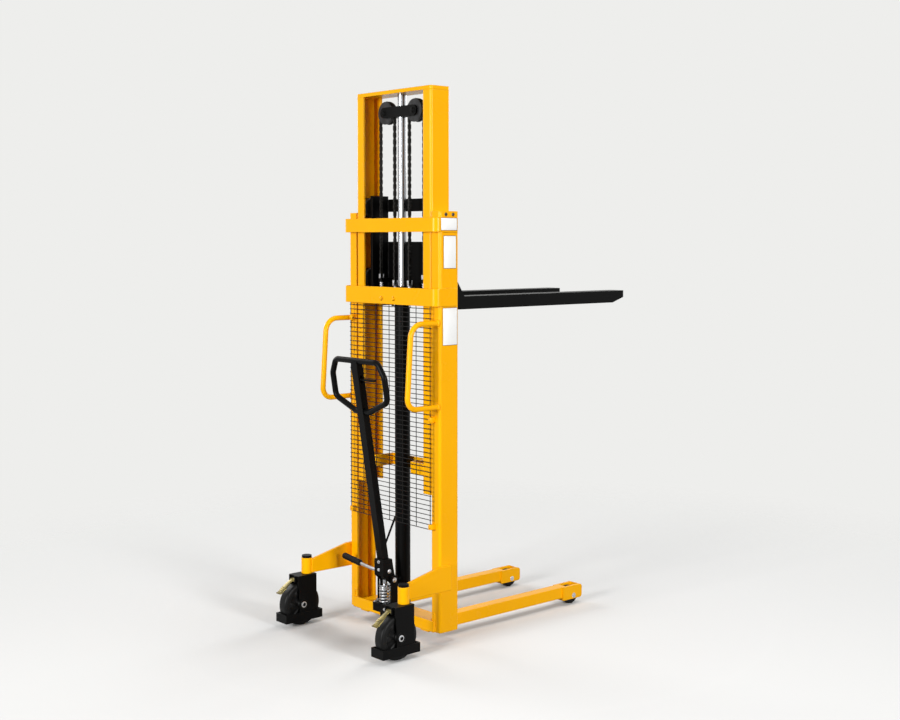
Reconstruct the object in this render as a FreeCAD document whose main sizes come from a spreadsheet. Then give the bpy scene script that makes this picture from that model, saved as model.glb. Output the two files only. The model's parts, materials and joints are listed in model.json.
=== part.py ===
import FreeCAD, Part
import math
import os
import re
import Sketcher

# Hand pallet stacker: a two-stage mast with a chain hoist, a tiller pump, two casters and two legs.
# Lengths are in millimetres. +X is the operator's right, +Y points along the forks, +Z is up.
# Heights are above the floor. Depths along Y are measured from the rear face of the mast.
doc = FreeCAD.newDocument("pallet_stacker")
sheet = doc.addObject("Spreadsheet::Sheet", "sizes")
vector = FreeCAD.Vector

driving = {
    # fits and cuts
    "overrun": 1, "running_fit": 0.05, "face_gap": 0.3, "slide_gap": 0.5,
    # outer mast, two channels that open inwards
    "mast_top": 1580, "mast_foot": 40, "mast_half": 268, "channel_depth": 92,
    "flange_wide": 44, "flange_thick": 8, "web_thick": 6, "mast_gap": 4, "mast_round": 10,
    # straps across the back of the outer mast
    "strap_gap": 20, "strap_thick": 6, "strap_short": 12, "strap_round": 24,
    "upper_strap_drop": 23, "upper_strap_tall": 52,
    "lower_strap_drop": 280, "lower_strap_tall": 64,
    # inner mast
    "inner_foot": 543, "top_plate_thick": 14, "head_room": 65, "lower_bar_rise": 66, "lower_bar_tall": 44,
    "recess_half": 110, "recess_room": 7,
    # rollers in the channels
    "roller_room": 5, "roller_pin_radius": 10, "inner_roller_rise": 45, "roller_edge": 3,
    # guide pads in the top of the outer channels
    "pad_tall": 48, "pad_drop": 3,
    # base
    "base_low": 40, "base_tall": 40, "base_lap": 16, "base_thick": 8, "base_floor": 12, "floor_rise": 20,
    "lug_rise": 28,
    # legs and load rollers
    "leg_half_gap": 180, "leg_wide": 46, "leg_low": 32, "leg_tall": 44,
    "tip_side": 12, "leg_tip_low": 22, "leg_tip_round": 12, "tip_wall": 9,
    "load_axle_depth": 771, "load_radius": 35, "load_wide": 36, "load_gap": 3,
    "load_axle_radius": 8, "tip_back": 60,
    # caster arms and sockets
    "arm_thick": 12, "arm_root": 47, "arm_lift": 3, "arm_tall": 91, "arm_flat": 62, "arm_step": 4,
    "caster_out": 26, "caster_back": 192, "socket_tall": 60, "socket_wall": 6,
    "bush_wall": 3, "stem_radius": 12, "cap_inset": 2, "cap_tall": 9,
    # casters
    "wheel_radius": 81, "wheel_wide": 44, "wheel_edge": 8, "wheel_dish": 6, "rim_radius": 58,
    "hub_radius": 20, "hub_out": 2.5, "caster_trail": 36, "wheel_axle_radius": 7,
    "wheel_room": 22.7, "yoke_thick": 5, "yoke_front": 24, "yoke_back": 62, "yoke_plate": 8, "yoke_foot": 17,
    "guard_low": 19, "guard_tall": 33, "guard_inset": 1, "guard_thick": 4,
    # caster brakes
    "brake_wide": 30, "brake_thick": 5, "brake_back": 134, "brake_drop": 66, "brake_pin_radius": 4,
    "brake_hub": 8, "brake_pin_drop": 17, "brake_ear": 4,
    # wire guard behind the mast
    "net_inset": 27, "guard_bottom": 420, "guard_lap": 10, "wire": 3, "guard_rows": 47, "guard_columns": 6,
    # clips and bolts
    "clip_wide": 16, "clip_tall": 20, "clip_inset": 2, "bolt_radius": 7, "bolt_tall": 6, "bolt_side": 36,
    "bolt_rise": 21,
    # grab handles
    "grab_inset": 14, "grab_top": 1175, "grab_bottom": 870, "grab_reach": 122, "grab_slant": 20,
    "grab_radius": 10, "grab_top_bend": 52, "grab_bottom_bend": 39,
    # lift cylinder and ram
    "ram_depth": 46, "cylinder_radius": 29, "cylinder_wall": 6, "gland_rise": 40,
    "gland_wall": 4, "gland_tall": 30, "gland_sink": 12, "bracket_wide": 40,
    "ram_radius": 16, "ram_foot": 680, "piston_tall": 40,
    # crosshead, sheaves and chains
    "chain_in_room": 7, "chain_out_room": 19.7, "sheave_height": 1955, "flange_rise": 5, "sheave_lip": 4,
    "chain_room": 1, "sheave_pin_radius": 8, "head_tall": 40, "head_plate": 8, "head_block": 48,
    "chain_thick": 7, "chain_wide": 14, "anchor_rise": 20, "anchor_tall": 12,
    "anchor_plate": 7, "anchor_plate_tall": 44, "anchor_margin": 6, "lug_tall": 16,
    "back_split_share": 0.76, "front_split_share": 0.336,
    # carriage
    "side_room": 14, "side_plate_thick": 12, "side_plate_back": 22, "carriage_room": 8,
    "lower_roller_rise": 63, "roller_spacing": 270, "top_margin": 44, "top_bar_drop": 16, "top_bar_tall": 48,
    "carriage_plate": 12, "plate_inset": 2, "plate_tall": 202,
    # forks
    "fork_top": 1267, "fork_shift": 2, "fork_room": 5, "fork_wall": 5, "fork_skin": 8, "fork_deep": 48,
    "fork_tip_deep": 24, "fork_tip": 1057, "fork_taper": 75, "fork_round": 16,
    "gusset_tall": 80, "gusset_long": 50,
    "gusset_thick": 8,
    # tiller
    "pivot_back": 23, "pivot_height": 198, "pivot_radius": 6, "rocker_radius": 11, "cheek_thick": 3.5,
    "cheek_back": 14, "cheek_drop": 13, "cheek_slant": 8,
    "rocker_block_back": 48, "rocker_block_front": 5, "rocker_block_low": 18, "rocker_block_tall": 62,
    "block_wall": 6,
    "nose_radius": 9, "nose_back": 19.5, "nose_rise": 9.0904, "nose_half": 12, "tiller_lean": 9.24,
    "shaft_offset": 15, "shaft_wide": 34, "shaft_deep": 28, "shaft_start": 20,
    "loop_radius": 11, "loop_half": 155, "loop_low": 655.5, "loop_tall": 192, "loop_foot_half": 40,
    "shoulder_share": 0.25, "cheek_share": 0.28125, "loop_top_half": 125, "loop_bend": 28,
    "pedal_back": 37, "pedal_rise": 34, "pedal_radius": 6, "pedal_long": 230, "pedal_lift": 19,
    "pedal_straight": 30, "pedal_bend": 80, "grip_radius": 12, "grip_long": 108,
    "lever_share": 0.64, "lever_side": 6, "lever_pin_radius": 3, "lever_hub_radius": 7, "lever_long": 90,
    "lever_thick": 6, "lever_deep": 12, "lever_inset": 10, "lever_room": 14,
    # pump
    "pump_half": 47, "pump_deep": 68, "pump_low": 77, "pump_round": 10,
    "barrel_radius": 18, "barrel_tall": 30,
    "ear_room": 1, "ear_thick": 8, "ear_deep": 30, "ear_over": 16,
    "plunger_radius": 8, "plunger_sunk": 24, "plunger_room": 20,
    "collar_margin": 0.8, "collar_tall": 6, "collar_drop": 19,
    "spring_wire": 2.7, "spring_radius": 18.5, "spring_turns": 5,
    # oil pipe from the cylinder to the pump
    "pipe_radius": 4, "pipe_side": 41, "pipe_top": 424, "pipe_rise": 146, "pipe_end_back": 40, "pipe_bend": 30,
}

derived = {
    # mast and straps
    "rear_reach": "caster_back + brake_back",
    "mast_rear": "(rear_reach - fork_tip) / 2",
    "mast_in": "mast_half - flange_wide",
    "inner_half": "mast_in - mast_gap",
    "inner_in": "inner_half - flange_wide",
    "channel_middle": "channel_depth / 2",
    "strap_back": "strap_gap + strap_thick",
    "strap_reach": "channel_depth - strap_short",
    "upper_strap_low": "mast_top - upper_strap_drop - upper_strap_tall",
    "lower_strap_low": "mast_top - lower_strap_drop - lower_strap_tall",
    "inner_crown": "sheave_height + head_room",
    "lower_bar_low": "inner_foot + lower_bar_rise",
    "recess_deep": "ram_depth + cylinder_radius + recess_room + flange_thick",
    "roller_radius": "channel_depth / 2 - flange_thick - slide_gap",
    "roller_wide": "flange_wide - web_thick - roller_edge - roller_room",
    "roller_in": "inner_half - web_thick - roller_edge - roller_wide",
    # base and legs
    "base_half": "mast_half - flange_wide + base_lap",
    "base_plate_top": "base_low + floor_rise + base_floor",
    "leg_top": "leg_low + leg_tall",
    "leg_in": "leg_half_gap - leg_wide / 2",
    "leg_tip_wide": "load_wide + 2 * tip_side",
    "tip_end": "load_axle_depth + load_radius + load_gap + tip_wall",
    # caster arms and casters
    "caster_side": "mast_half + caster_out",
    "axle_back": "caster_back + caster_trail",
    "bush_radius": "stem_radius + bush_wall",
    "socket_radius": "bush_radius + socket_wall",
    "cap_radius": "socket_radius - cap_inset",
    "yoke_top": "2 * wheel_radius + wheel_room + yoke_plate",
    "socket_low": "yoke_top + face_gap",
    "socket_top": "socket_low + socket_tall",
    "arm_low": "socket_low + arm_lift",
    "arm_end": "socket_radius - arm_thick - caster_back",
    "hub_wide": "wheel_wide + 2 * hub_out",
    "yoke_gap": "hub_wide / 2 + slide_gap",
    "yoke_out": "yoke_gap + yoke_thick",
    "guard_half": "wheel_radius - guard_inset",
    "brake_pin_back": "caster_back + yoke_back",
    "brake_pin_height": "yoke_top - brake_pin_drop",
    # guard and handles
    "guard_half_wide": "mast_half - net_inset",
    "guard_top": "lower_strap_low + guard_lap",
    "grab_side": "mast_half - grab_inset",
    # cylinder, sheaves and chains
    "cylinder_bore": "cylinder_radius - cylinder_wall",
    "cylinder_top": "lower_strap_low + gland_rise",
    "gland_radius": "cylinder_radius + gland_wall",
    "side_plate_in": "inner_in - side_plate_thick - side_room",
    "chain_in_low": "gland_radius + chain_in_room",
    "chain_out_high": "side_plate_in - chain_out_room",
    "chain_out_low": "chain_out_high - chain_thick",
    "sheave_side": "(chain_in_low + chain_out_high) / 2",
    "chain_outer": "(chain_out_high - chain_in_low) / 2",
    "groove_radius": "chain_outer - chain_thick - face_gap",
    "sheave_radius": "groove_radius + flange_rise",
    "groove_wide": "chain_wide + 2 * chain_room",
    "sheave_wide": "groove_wide + 2 * sheave_lip",
    "head_half_gap": "sheave_wide / 2 + face_gap",
    "anchor_low": "lower_strap_low + anchor_rise",
    "anchor_plate_low": "guard_top + face_gap",
    "chain_foot": "anchor_low + anchor_tall",
    # carriage and forks
    "carriage_front": "channel_depth + carriage_room",
    "carriage_face": "carriage_front + carriage_plate",
    "lower_roller": "fork_top + lower_roller_rise",
    "upper_roller": "lower_roller + roller_spacing",
    "carriage_top": "upper_roller + top_margin",
    "top_bar_low": "upper_roller - top_bar_drop",
    "plate_half": "inner_half - plate_inset",
    "plate_low": "fork_top - fork_skin",
    "plate_top": "fork_top + plate_tall",
    "fork_middle": "leg_half_gap + fork_shift",
    "fork_wide": "leg_tip_wide + 2 * (fork_room + fork_wall)",
    "back_split": "chain_foot + back_split_share * (sheave_height - chain_foot)",
    "front_split": "lower_roller + front_split_share * (sheave_height - lower_roller)",
    # tiller and pump
    "pump_top": "base_low + base_tall + lug_rise",
    "collar_radius": "spring_radius + spring_wire + collar_margin",
    "cheek_in": "collar_radius + slide_gap",
    "rocker_half": "cheek_in + cheek_thick",
    "ear_in": "rocker_half + ear_room",
    "pivot_to_nose_low": "pivot_height + nose_rise - nose_radius",
    "plunger_top": "pivot_to_nose_low - face_gap - running_fit",
    "plunger_back": "pivot_back + nose_back",
    "collar_low": "plunger_top - collar_drop - collar_tall",
    "loop_top": "loop_low + loop_tall",
    "loop_shoulder": "loop_low + shoulder_share * loop_tall",
    "loop_cheek": "loop_top - cheek_share * loop_tall",
    "lever_height": "loop_low + lever_share * loop_tall",
    "pipe_turn": "pump_top + pipe_rise",
}


def fill_sheet():
    rows = list(driving.items()) + [(alias, "=" + formula) for alias, formula in derived.items()]
    for row, (alias, content) in enumerate(rows, start=1):
        sheet.set("A%d" % row, alias)
        sheet.set("B%d" % row, str(content))
        sheet.setAlias("B%d" % row, alias)
    doc.recompute()


fill_sheet()
aliases = set(driving) | set(derived)


def linked(text):
    # an expression on sheet values, as another object of the document reads it
    return re.sub(r"[a-z][a-z_]+", lambda word: "sizes." * (word.group() in aliases) + word.group(), text)


def num(text):
    # the value of an expression on sheet values
    return float(sheet.evalExpression(text))


def place(piece, at, shifted=True):
    # binds a piece's place; depths are counted from the mast's rear face unless it sits in its own frame
    x, y, z = at
    depth = "mast_rear + " + y if shifted else y
    for axis, text in zip("xyz", (x, depth, z)):
        piece.setExpression("Placement.Base." + axis, linked(text))


turns = {
    "x": FreeCAD.Rotation(vector(0, 1, 0), 90),
    "y": FreeCAD.Rotation(vector(1, 0, 0), -90),
    "z": FreeCAD.Rotation(),
}


def box(name, size, at, shifted=True):
    solid = doc.addObject("Part::Box", name)
    for side, text in zip(("Length", "Width", "Height"), size):
        solid.setExpression(side, linked(text))
    place(solid, at, shifted)
    return solid


def rod(name, radius, length, at, axis="z", shifted=True):
    solid = doc.addObject("Part::Cylinder", name)
    solid.setExpression("Radius", linked(radius))
    solid.setExpression("Height", linked(length))
    solid.Placement = FreeCAD.Placement(vector(), turns[axis])
    place(solid, at, shifted)
    return solid


def fuse(label, *solids):
    whole = doc.addObject("Part::MultiFuse", label)
    whole.Shapes = list(solids)
    whole.Refine = True
    return whole


def cut(label, base, tool):
    rest = doc.addObject("Part::Cut", label)
    rest.Base = base
    rest.Tool = tool
    return rest


def group(label, *solids):
    several = doc.addObject("Part::Compound", label)
    several.Links = list(solids)
    return several


def mirrored(label, source):
    # the same piece on the other side of the middle plane
    other = doc.addObject("Part::Mirroring", label)
    other.Source = source
    other.Normal = vector(1, 0, 0)
    return other


def pair(label, piece):
    # a right-hand solid and its left-hand twin in one node
    return group(label, piece, mirrored(label + "_twin", piece))


def drawn(body, plane, corners):
    # a closed outline of straight sides whose corners are held by sheet values
    sketch = body.newObject("Sketcher::SketchObject", body.Name + "_outline")
    support = [part for part in body.Origin.OriginFeatures if part.Role == plane][0]
    sketch.AttachmentSupport = (support, [""])
    sketch.MapMode = "FlatFace"
    spots = [vector(num(x), num(y), 0) for x, y in corners]
    count = len(spots)
    for index in range(count):
        sketch.addGeometry(Part.LineSegment(spots[index], spots[(index + 1) % count]))
    for index in range(count):
        sketch.addConstraint(Sketcher.Constraint("Coincident", index, 2, (index + 1) % count, 1))
    for index, corner in enumerate(corners):
        for kind, text in zip(("DistanceX", "DistanceY"), corner):
            held = sketch.addConstraint(Sketcher.Constraint(kind, index, 1, num(text)))
            sketch.setExpression("Constraints[%d]" % held, linked(text))
    return sketch


def padded(label, plane, corners, thick, at, shifted=True):
    body = doc.addObject("PartDesign::Body", label)
    pad = body.newObject("PartDesign::Pad", label + "_pad")
    pad.Profile = drawn(body, plane, corners)
    pad.setExpression("Length", linked(thick))
    body.Tip = pad
    place(body, at, shifted)
    return body


def turned(label, corners, at, axis, shifted=True):
    # a revolved outline of (radius, place along the axis) corners
    body = doc.addObject("PartDesign::Body", label)
    sketch = drawn(body, "XZ_Plane", corners)
    turn = body.newObject("PartDesign::Revolution", label + "_turn")
    turn.Profile = sketch
    turn.ReferenceAxis = (sketch, ["V_Axis"])
    turn.Angle = 360
    body.Tip = turn
    body.Placement = FreeCAD.Placement(vector(), turns[axis])
    place(body, at, shifted)
    return body


def rounded(body, radius, wanted):
    # rounds the edges of a body's last feature that the test picks
    doc.recompute()
    base = body.Tip
    names = ["Edge%d" % (index + 1) for index, edge in enumerate(base.Shape.Edges) if wanted(edge)]
    fillet = body.newObject("PartDesign::Fillet", body.Name + "_round")
    fillet.Base = (base, names)
    fillet.setExpression("Radius", linked(radius))
    body.Tip = fillet
    return body


def upright(edge):
    spread = edge.BoundBox
    return spread.ZLength > spread.XLength + spread.YLength


def at_corner(edge, side, depth):
    # an upright edge at a given distance from the middle plane and a given depth
    spot = edge.CenterOfMass
    near = num("overrun")
    return upright(edge) and abs(abs(spot.x) - num(side)) < near and abs(spot.y - num(depth)) < near


def bent_path(points, bends):
    # straight runs joined by tangent arcs, one bend radius for each inner point
    edges = []
    start = points[0]
    for corner, after, bend in zip(points[1:-1], points[2:], bends):
        inward = (start - corner).normalize()
        onward = (after - corner).normalize()
        half = inward.getAngle(onward) / 2
        first = corner + inward * (bend / math.tan(half))
        last = corner + onward * (bend / math.tan(half))
        bisector = (inward + onward).normalize()
        middle = corner + bisector * (bend / math.sin(half) - bend)
        edges.append(Part.LineSegment(start, first).toShape())
        edges.append(Part.Arc(first, middle, last).toShape())
        start = last
    edges.append(Part.LineSegment(start, points[-1]).toShape())
    return Part.Wire(edges)


def swept(path, radius):
    # a round bar along a path
    first = path.Edges[0]
    start = first.valueAt(first.FirstParameter)
    ring = Part.Wire([Part.makeCircle(radius, start, first.tangentAt(first.FirstParameter))])
    return path.makePipeShell([ring], True, False)


def formed(label, shape, at=("0", "0", "0"), lean=None):
    piece = doc.addObject("Part::Feature", label)
    piece.Shape = shape
    if lean:
        piece.Placement = FreeCAD.Placement(vector(), FreeCAD.Rotation(vector(1, 0, 0), num(lean)))
    place(piece, at)
    return piece


def spots(*triples):
    return [vector(num(x), num(y), num(z)) for x, y, z in triples]


nodes = []


def keep(*pieces):
    nodes.extend(pieces)


# Outer mast: two channels that open inwards
def channel(label, side, low, high):
    corners = [
        (side, "0"), (side, "channel_depth"),
        (side + " - flange_wide", "channel_depth"),
        (side + " - flange_wide", "channel_depth - flange_thick"),
        (side + " - web_thick", "channel_depth - flange_thick"),
        (side + " - web_thick", "flange_thick"),
        (side + " - flange_wide", "flange_thick"), (side + " - flange_wide", "0"),
    ]
    rail = padded(label, "XY_Plane", corners, high + " - " + low, ("0", "0", low))
    return rounded(rail, "mast_round",
                   lambda edge: at_corner(edge, side, "0") or at_corner(edge, side, "channel_depth"))


outer_right = channel("outer_mast_right", "mast_half", "mast_foot", "mast_top")
keep(outer_right, mirrored("outer_mast_left", outer_right))


# Straps: flat bars bent round the back of the mast, with their ends on the outer webs
def strap(label, low, tall):
    half = "mast_half"
    corners = [
        ("-" + half + " - strap_thick", "-strap_back"), (half + " + strap_thick", "-strap_back"),
        (half + " + strap_thick", "strap_reach"), (half, "strap_reach"),
        (half, "-strap_gap"), ("-" + half, "-strap_gap"),
        ("-" + half, "strap_reach"), ("-" + half + " - strap_thick", "strap_reach"),
    ]
    bar = padded(label, "XY_Plane", corners, tall, ("0", "0", low))
    rounded(bar, "strap_round", lambda edge: at_corner(edge, "mast_half + strap_thick", "-strap_back"))
    return rounded(bar, "strap_round - strap_thick", lambda edge: at_corner(edge, half, "-strap_gap"))


keep(strap("upper_crossbar", "upper_strap_low", "upper_strap_tall"))
keep(strap("lower_crossbar", "lower_strap_low", "lower_strap_tall"))

# Base: a plate that laps the uprights' rear flanges, with a lug for the pump, and the lift cylinder's floor
base_plate = box("base_plate", ("2 * base_half", "base_thick", "base_tall"),
                 ("-base_half", "-base_thick", "base_low"))
pump_lug = box("pump_lug", ("2 * pump_half", "base_thick", "base_tall + lug_rise"),
               ("-pump_half", "-base_thick", "base_low"))
base_floor = box("base_floor_plate", ("2 * leg_in", "channel_depth", "base_floor"),
                 ("-leg_in", "0", "base_low + floor_rise"))
keep(fuse("base_beam", base_plate, pump_lug, base_floor))


# Legs: a box bar with a wider tip that holds the load roller
def leg(label):
    bar = box(label + "_bar", ("leg_wide", "load_axle_depth - tip_back", "leg_tall"),
              ("leg_half_gap - leg_wide / 2", "0", "leg_low"))
    tip = padded(
        label + "_tip", "YZ_Plane",
        [("load_axle_depth - tip_back", "leg_tip_low"), ("tip_end", "leg_tip_low"), ("tip_end", "leg_top"),
         ("load_axle_depth - tip_back", "leg_top")],
        "leg_tip_wide", ("leg_half_gap - leg_tip_wide / 2", "0", "0"))
    front = num("tip_end") - num("overrun")
    rounded(tip, "leg_tip_round",
            lambda edge: edge.BoundBox.YMin > front and edge.BoundBox.XLength > edge.BoundBox.ZLength)
    slot = box(label + "_slot", ("load_wide + 2 * face_gap", "2 * (load_radius + load_gap)",
                                 "leg_top - leg_tip_low + 2 * overrun"),
               ("leg_half_gap - load_wide / 2 - face_gap", "load_axle_depth - load_radius - load_gap",
                "leg_tip_low - overrun"))
    bore = rod(label + "_bore", "load_axle_radius", "leg_tip_wide + 2 * overrun",
               ("leg_half_gap - leg_tip_wide / 2 - overrun", "load_axle_depth", "load_radius"), "x")
    return cut(label, fuse(label + "_blank", bar, tip), fuse(label + "_openings", slot, bore))


right_leg = leg("right_leg")
keep(right_leg, mirrored("left_leg", right_leg))
load_axle = rod("load_axle", "load_axle_radius", "leg_tip_wide",
                ("leg_half_gap - leg_tip_wide / 2", "load_axle_depth", "load_radius"), "x")
keep(pair("load_roller_axles", load_axle))


def plain_roller(label, radius, wide, bore, edge, at):
    # a roller with bevelled rims, on the X axis, with a running fit on its pin
    corners = [
        (bore + " + running_fit", "0"), (radius + " - " + edge, "0"), (radius, edge),
        (radius, wide + " - " + edge), (radius + " - " + edge, wide), (bore + " + running_fit", wide),
    ]
    return turned(label, corners, at, "x")


right_load = plain_roller(
    "right_load_roller", "load_radius", "load_wide", "load_axle_radius", "roller_edge",
    ("leg_half_gap - load_wide / 2", "load_axle_depth", "load_radius"))
keep(right_load, mirrored("left_load_roller", right_load))

# Caster arms: a sloping plate on each upright with a socket for the caster's stem
arm_plate = padded(
    "arm_plate", "YZ_Plane",
    [("arm_root", "arm_low"), ("arm_root", "arm_low + arm_tall"),
     ("arm_root - arm_flat", "arm_low + arm_tall"), ("arm_end", "socket_top - arm_step"),
     ("arm_end", "socket_low + arm_step"), ("arm_root - arm_flat", "arm_low")],
    "arm_thick", ("mast_half", "0", "0"))
socket = rod("socket", "socket_radius", "socket_tall", ("caster_side", "-caster_back", "socket_low"))
socket_bore = rod("socket_bore", "bush_radius", "socket_tall + 2 * overrun",
                  ("caster_side", "-caster_back", "socket_low - overrun"))
right_arm = cut("right_caster_arm", fuse("arm_blank", arm_plate, socket), socket_bore)
keep(right_arm, mirrored("left_caster_arm", right_arm))
cap = rod("socket_cap", "cap_radius", "cap_tall", ("caster_side", "-caster_back", "socket_top"))
keep(pair("socket_caps", cap))
bush = turned(
    "bush", [("stem_radius + running_fit", "0"), ("bush_radius", "0"), ("bush_radius", "socket_tall"),
             ("stem_radius + running_fit", "socket_tall")],
    ("caster_side", "-caster_back", "socket_low"), "z")
keep(pair("socket_bushes", bush))


# Casters: a yoke with a stem, side plates, a toe guard and two ears for the brake
def caster_yoke():
    stem = rod("stem", "stem_radius", "socket_tall + yoke_plate",
               ("caster_side", "-caster_back", "yoke_top - yoke_plate"))
    crown = box("yoke_crown", ("2 * yoke_out", "yoke_front + yoke_back", "yoke_plate"),
                ("caster_side - yoke_out", "-caster_back - yoke_back", "yoke_top - yoke_plate"))
    cheek_corners = [
        ("-caster_back + yoke_front", "yoke_top"), ("-caster_back - yoke_back", "yoke_top"),
        ("-caster_back - yoke_back", "yoke_top - 2 * yoke_plate"),
        ("-axle_back - yoke_foot", "wheel_radius"), ("-axle_back - yoke_foot", "guard_low"),
        ("-caster_back + yoke_front", "guard_low"),
    ]
    cheeks = [padded("yoke_cheek_" + name, "YZ_Plane", cheek_corners, "yoke_thick", (side, "0", "0"))
              for name, side in (("in", "caster_side - yoke_out"), ("out", "caster_side + yoke_gap"))]
    ring = box("guard_ring",
               ("2 * (yoke_out + guard_thick)", "2 * (guard_half + guard_thick)", "guard_tall"),
               ("caster_side - yoke_out - guard_thick", "-axle_back - guard_half - guard_thick",
                "guard_low"))
    hollow = box("guard_hollow", ("2 * yoke_out", "2 * guard_half", "guard_tall + 2 * overrun"),
                 ("caster_side - yoke_out", "-axle_back - guard_half", "guard_low - overrun"))
    ears = [box("brake_ear_" + name, ("brake_ear", "2 * brake_hub", "brake_pin_drop + brake_hub"),
                (side, "-brake_pin_back - brake_hub", "brake_pin_height - brake_hub"))
            for name, side in (("in", "caster_side - brake_wide / 2 - face_gap - brake_ear"),
                               ("out", "caster_side + brake_wide / 2 + face_gap"))]
    axle = rod("wheel_axle", "wheel_axle_radius", "2 * (yoke_out + guard_thick)",
               ("caster_side - yoke_out - guard_thick", "-axle_back", "wheel_radius"), "x")
    brake_pin = rod("brake_pin", "brake_pin_radius", "brake_wide + 2 * face_gap + 2 * brake_ear",
                    ("caster_side - brake_wide / 2 - face_gap - brake_ear", "-brake_pin_back",
                     "brake_pin_height"), "x")
    toe_guard = cut("toe_guard", ring, hollow)
    return fuse("right_caster_yoke", stem, crown, *cheeks, toe_guard, *ears, axle, brake_pin)


right_yoke = caster_yoke()
keep(right_yoke, mirrored("left_caster_yoke", right_yoke))

wheel_face = "(hub_wide - wheel_wide) / 2"
right_wheel = turned(
    "right_wheel",
    [("wheel_axle_radius + running_fit", "0"), ("hub_radius", "0"),
     ("hub_radius", wheel_face + " + wheel_dish"), ("rim_radius", wheel_face + " + wheel_dish"),
     ("rim_radius", wheel_face), ("wheel_radius - wheel_edge", wheel_face),
     ("wheel_radius", wheel_face + " + wheel_edge"),
     ("wheel_radius", wheel_face + " + wheel_wide - wheel_edge"),
     ("wheel_radius - wheel_edge", wheel_face + " + wheel_wide"),
     ("rim_radius", wheel_face + " + wheel_wide"),
     ("rim_radius", wheel_face + " + wheel_wide - wheel_dish"),
     ("hub_radius", wheel_face + " + wheel_wide - wheel_dish"), ("hub_radius", "hub_wide"),
     ("wheel_axle_radius + running_fit", "hub_wide")],
    ("caster_side - hub_wide / 2", "-axle_back", "wheel_radius"), "x")
keep(right_wheel, mirrored("left_wheel", right_wheel))

# Caster brakes: a pedal that swings on the yoke's ears
brake_blade = padded(
    "brake_blade", "YZ_Plane",
    [("-brake_pin_back", "brake_pin_height + brake_hub - brake_thick"),
     ("-brake_pin_back", "brake_pin_height + brake_hub"),
     ("-caster_back - brake_back", "yoke_top - brake_drop + brake_thick"),
     ("-caster_back - brake_back", "yoke_top - brake_drop")],
    "brake_wide", ("caster_side - brake_wide / 2", "0", "0"))
brake_boss = rod("brake_boss", "brake_hub", "brake_wide",
                 ("caster_side - brake_wide / 2", "-brake_pin_back", "brake_pin_height"), "x")
brake_bore = rod("brake_bore", "brake_pin_radius + running_fit", "brake_wide + 2 * overrun",
                 ("caster_side - brake_wide / 2 - overrun", "-brake_pin_back", "brake_pin_height"), "x")
right_brake = cut("right_brake", fuse("brake_blank", brake_blade, brake_boss), brake_bore)
keep(right_brake, mirrored("left_brake", right_brake))


# Wire guard: one flat net behind the mast
def wire_guard():
    half = num("guard_half_wide")
    low = num("guard_bottom")
    high = num("guard_top")
    wire = num("wire")
    rows = int(num("guard_rows"))
    columns = int(num("guard_columns"))
    rear = -num("strap_gap")

    def window(left, bottom, right, top):
        corners = [vector(left, rear, bottom), vector(right, rear, bottom), vector(right, rear, top),
                   vector(left, rear, top)]
        return Part.makePolygon(corners + corners[:1])

    wide = (2 * half - wire) / columns
    tall = (high - low - wire) / rows
    gaps = [window(-half + wire + column * wide, low + wire + row * tall,
                   -half + (column + 1) * wide, low + (row + 1) * tall)
            for row in range(rows) for column in range(columns)]
    face = Part.makeFace([window(-half, low, half, high)] + gaps, "Part::FaceMakerBullseye")
    return face.extrude(vector(0, wire, 0))


keep(formed("mesh_guard", wire_guard()))

# Fasteners: clips that hold the guard on the uprights, and the bolts of the chains' anchor plate
clip_heights = ("guard_bottom", "(guard_bottom + guard_top) / 2 - clip_tall", "guard_top - 4 * clip_tall")
clips = [box("guard_clip_%d" % index, ("clip_wide", "strap_gap - wire", "clip_tall"),
             ("guard_half_wide - clip_wide + clip_inset", "wire - strap_gap", height))
         for index, height in enumerate(clip_heights)]
bolt = rod("strap_bolt", "bolt_radius", "bolt_tall",
           ("bolt_side", "-strap_back - bolt_tall", "lower_strap_low + bolt_rise"), "y")
fasteners = clips + [bolt]
twins = [mirrored(piece.Name + "_twin", piece) for piece in fasteners]
keep(group("frame_fasteners", *fasteners, *twins))

# Grab handles: a bent bar on the rear flange of each upright
grab_path = bent_path(
    spots(("grab_side", "0", "grab_top"), ("grab_side", "-grab_reach", "grab_top"),
          ("grab_side", "-grab_reach - grab_slant", "grab_bottom"), ("grab_side", "0", "grab_bottom")),
    (num("grab_top_bend"), num("grab_bottom_bend")))
right_grab = formed("right_grab_handle", swept(grab_path, num("grab_radius")))
keep(right_grab, mirrored("left_grab_handle", right_grab))

# Lift cylinder, its gland, and the bracket that ties it to the lower strap
cylinder_outside = rod("cylinder_outside", "cylinder_radius", "cylinder_top - base_plate_top",
                       ("0", "ram_depth", "base_plate_top"))
cylinder_inside = rod("cylinder_inside", "cylinder_bore", "cylinder_top - base_plate_top + overrun",
                      ("0", "ram_depth", "base_plate_top + flange_thick"))
keep(cut("cylinder_tube", cylinder_outside, cylinder_inside))
gland_ring = rod("gland_ring", "gland_radius", "gland_tall",
                 ("0", "ram_depth", "cylinder_top - gland_sink"))
gland_arm = box("gland_arm", ("bracket_wide", "ram_depth + strap_gap - anchor_plate", "gland_tall / 2"),
                ("-bracket_wide / 2", "anchor_plate - strap_gap", "cylinder_top - gland_sink"))
gland_seat = rod("gland_seat", "cylinder_radius", "gland_sink + overrun",
                 ("0", "ram_depth", "cylinder_top - gland_sink - overrun"))
gland_bore = rod("gland_bore", "ram_radius + running_fit", "gland_tall + 2 * overrun",
                 ("0", "ram_depth", "cylinder_top - gland_sink - overrun"))
keep(cut("cylinder_gland", fuse("gland_blank", gland_ring, gland_arm),
         fuse("gland_openings", gland_seat, gland_bore)))

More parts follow.
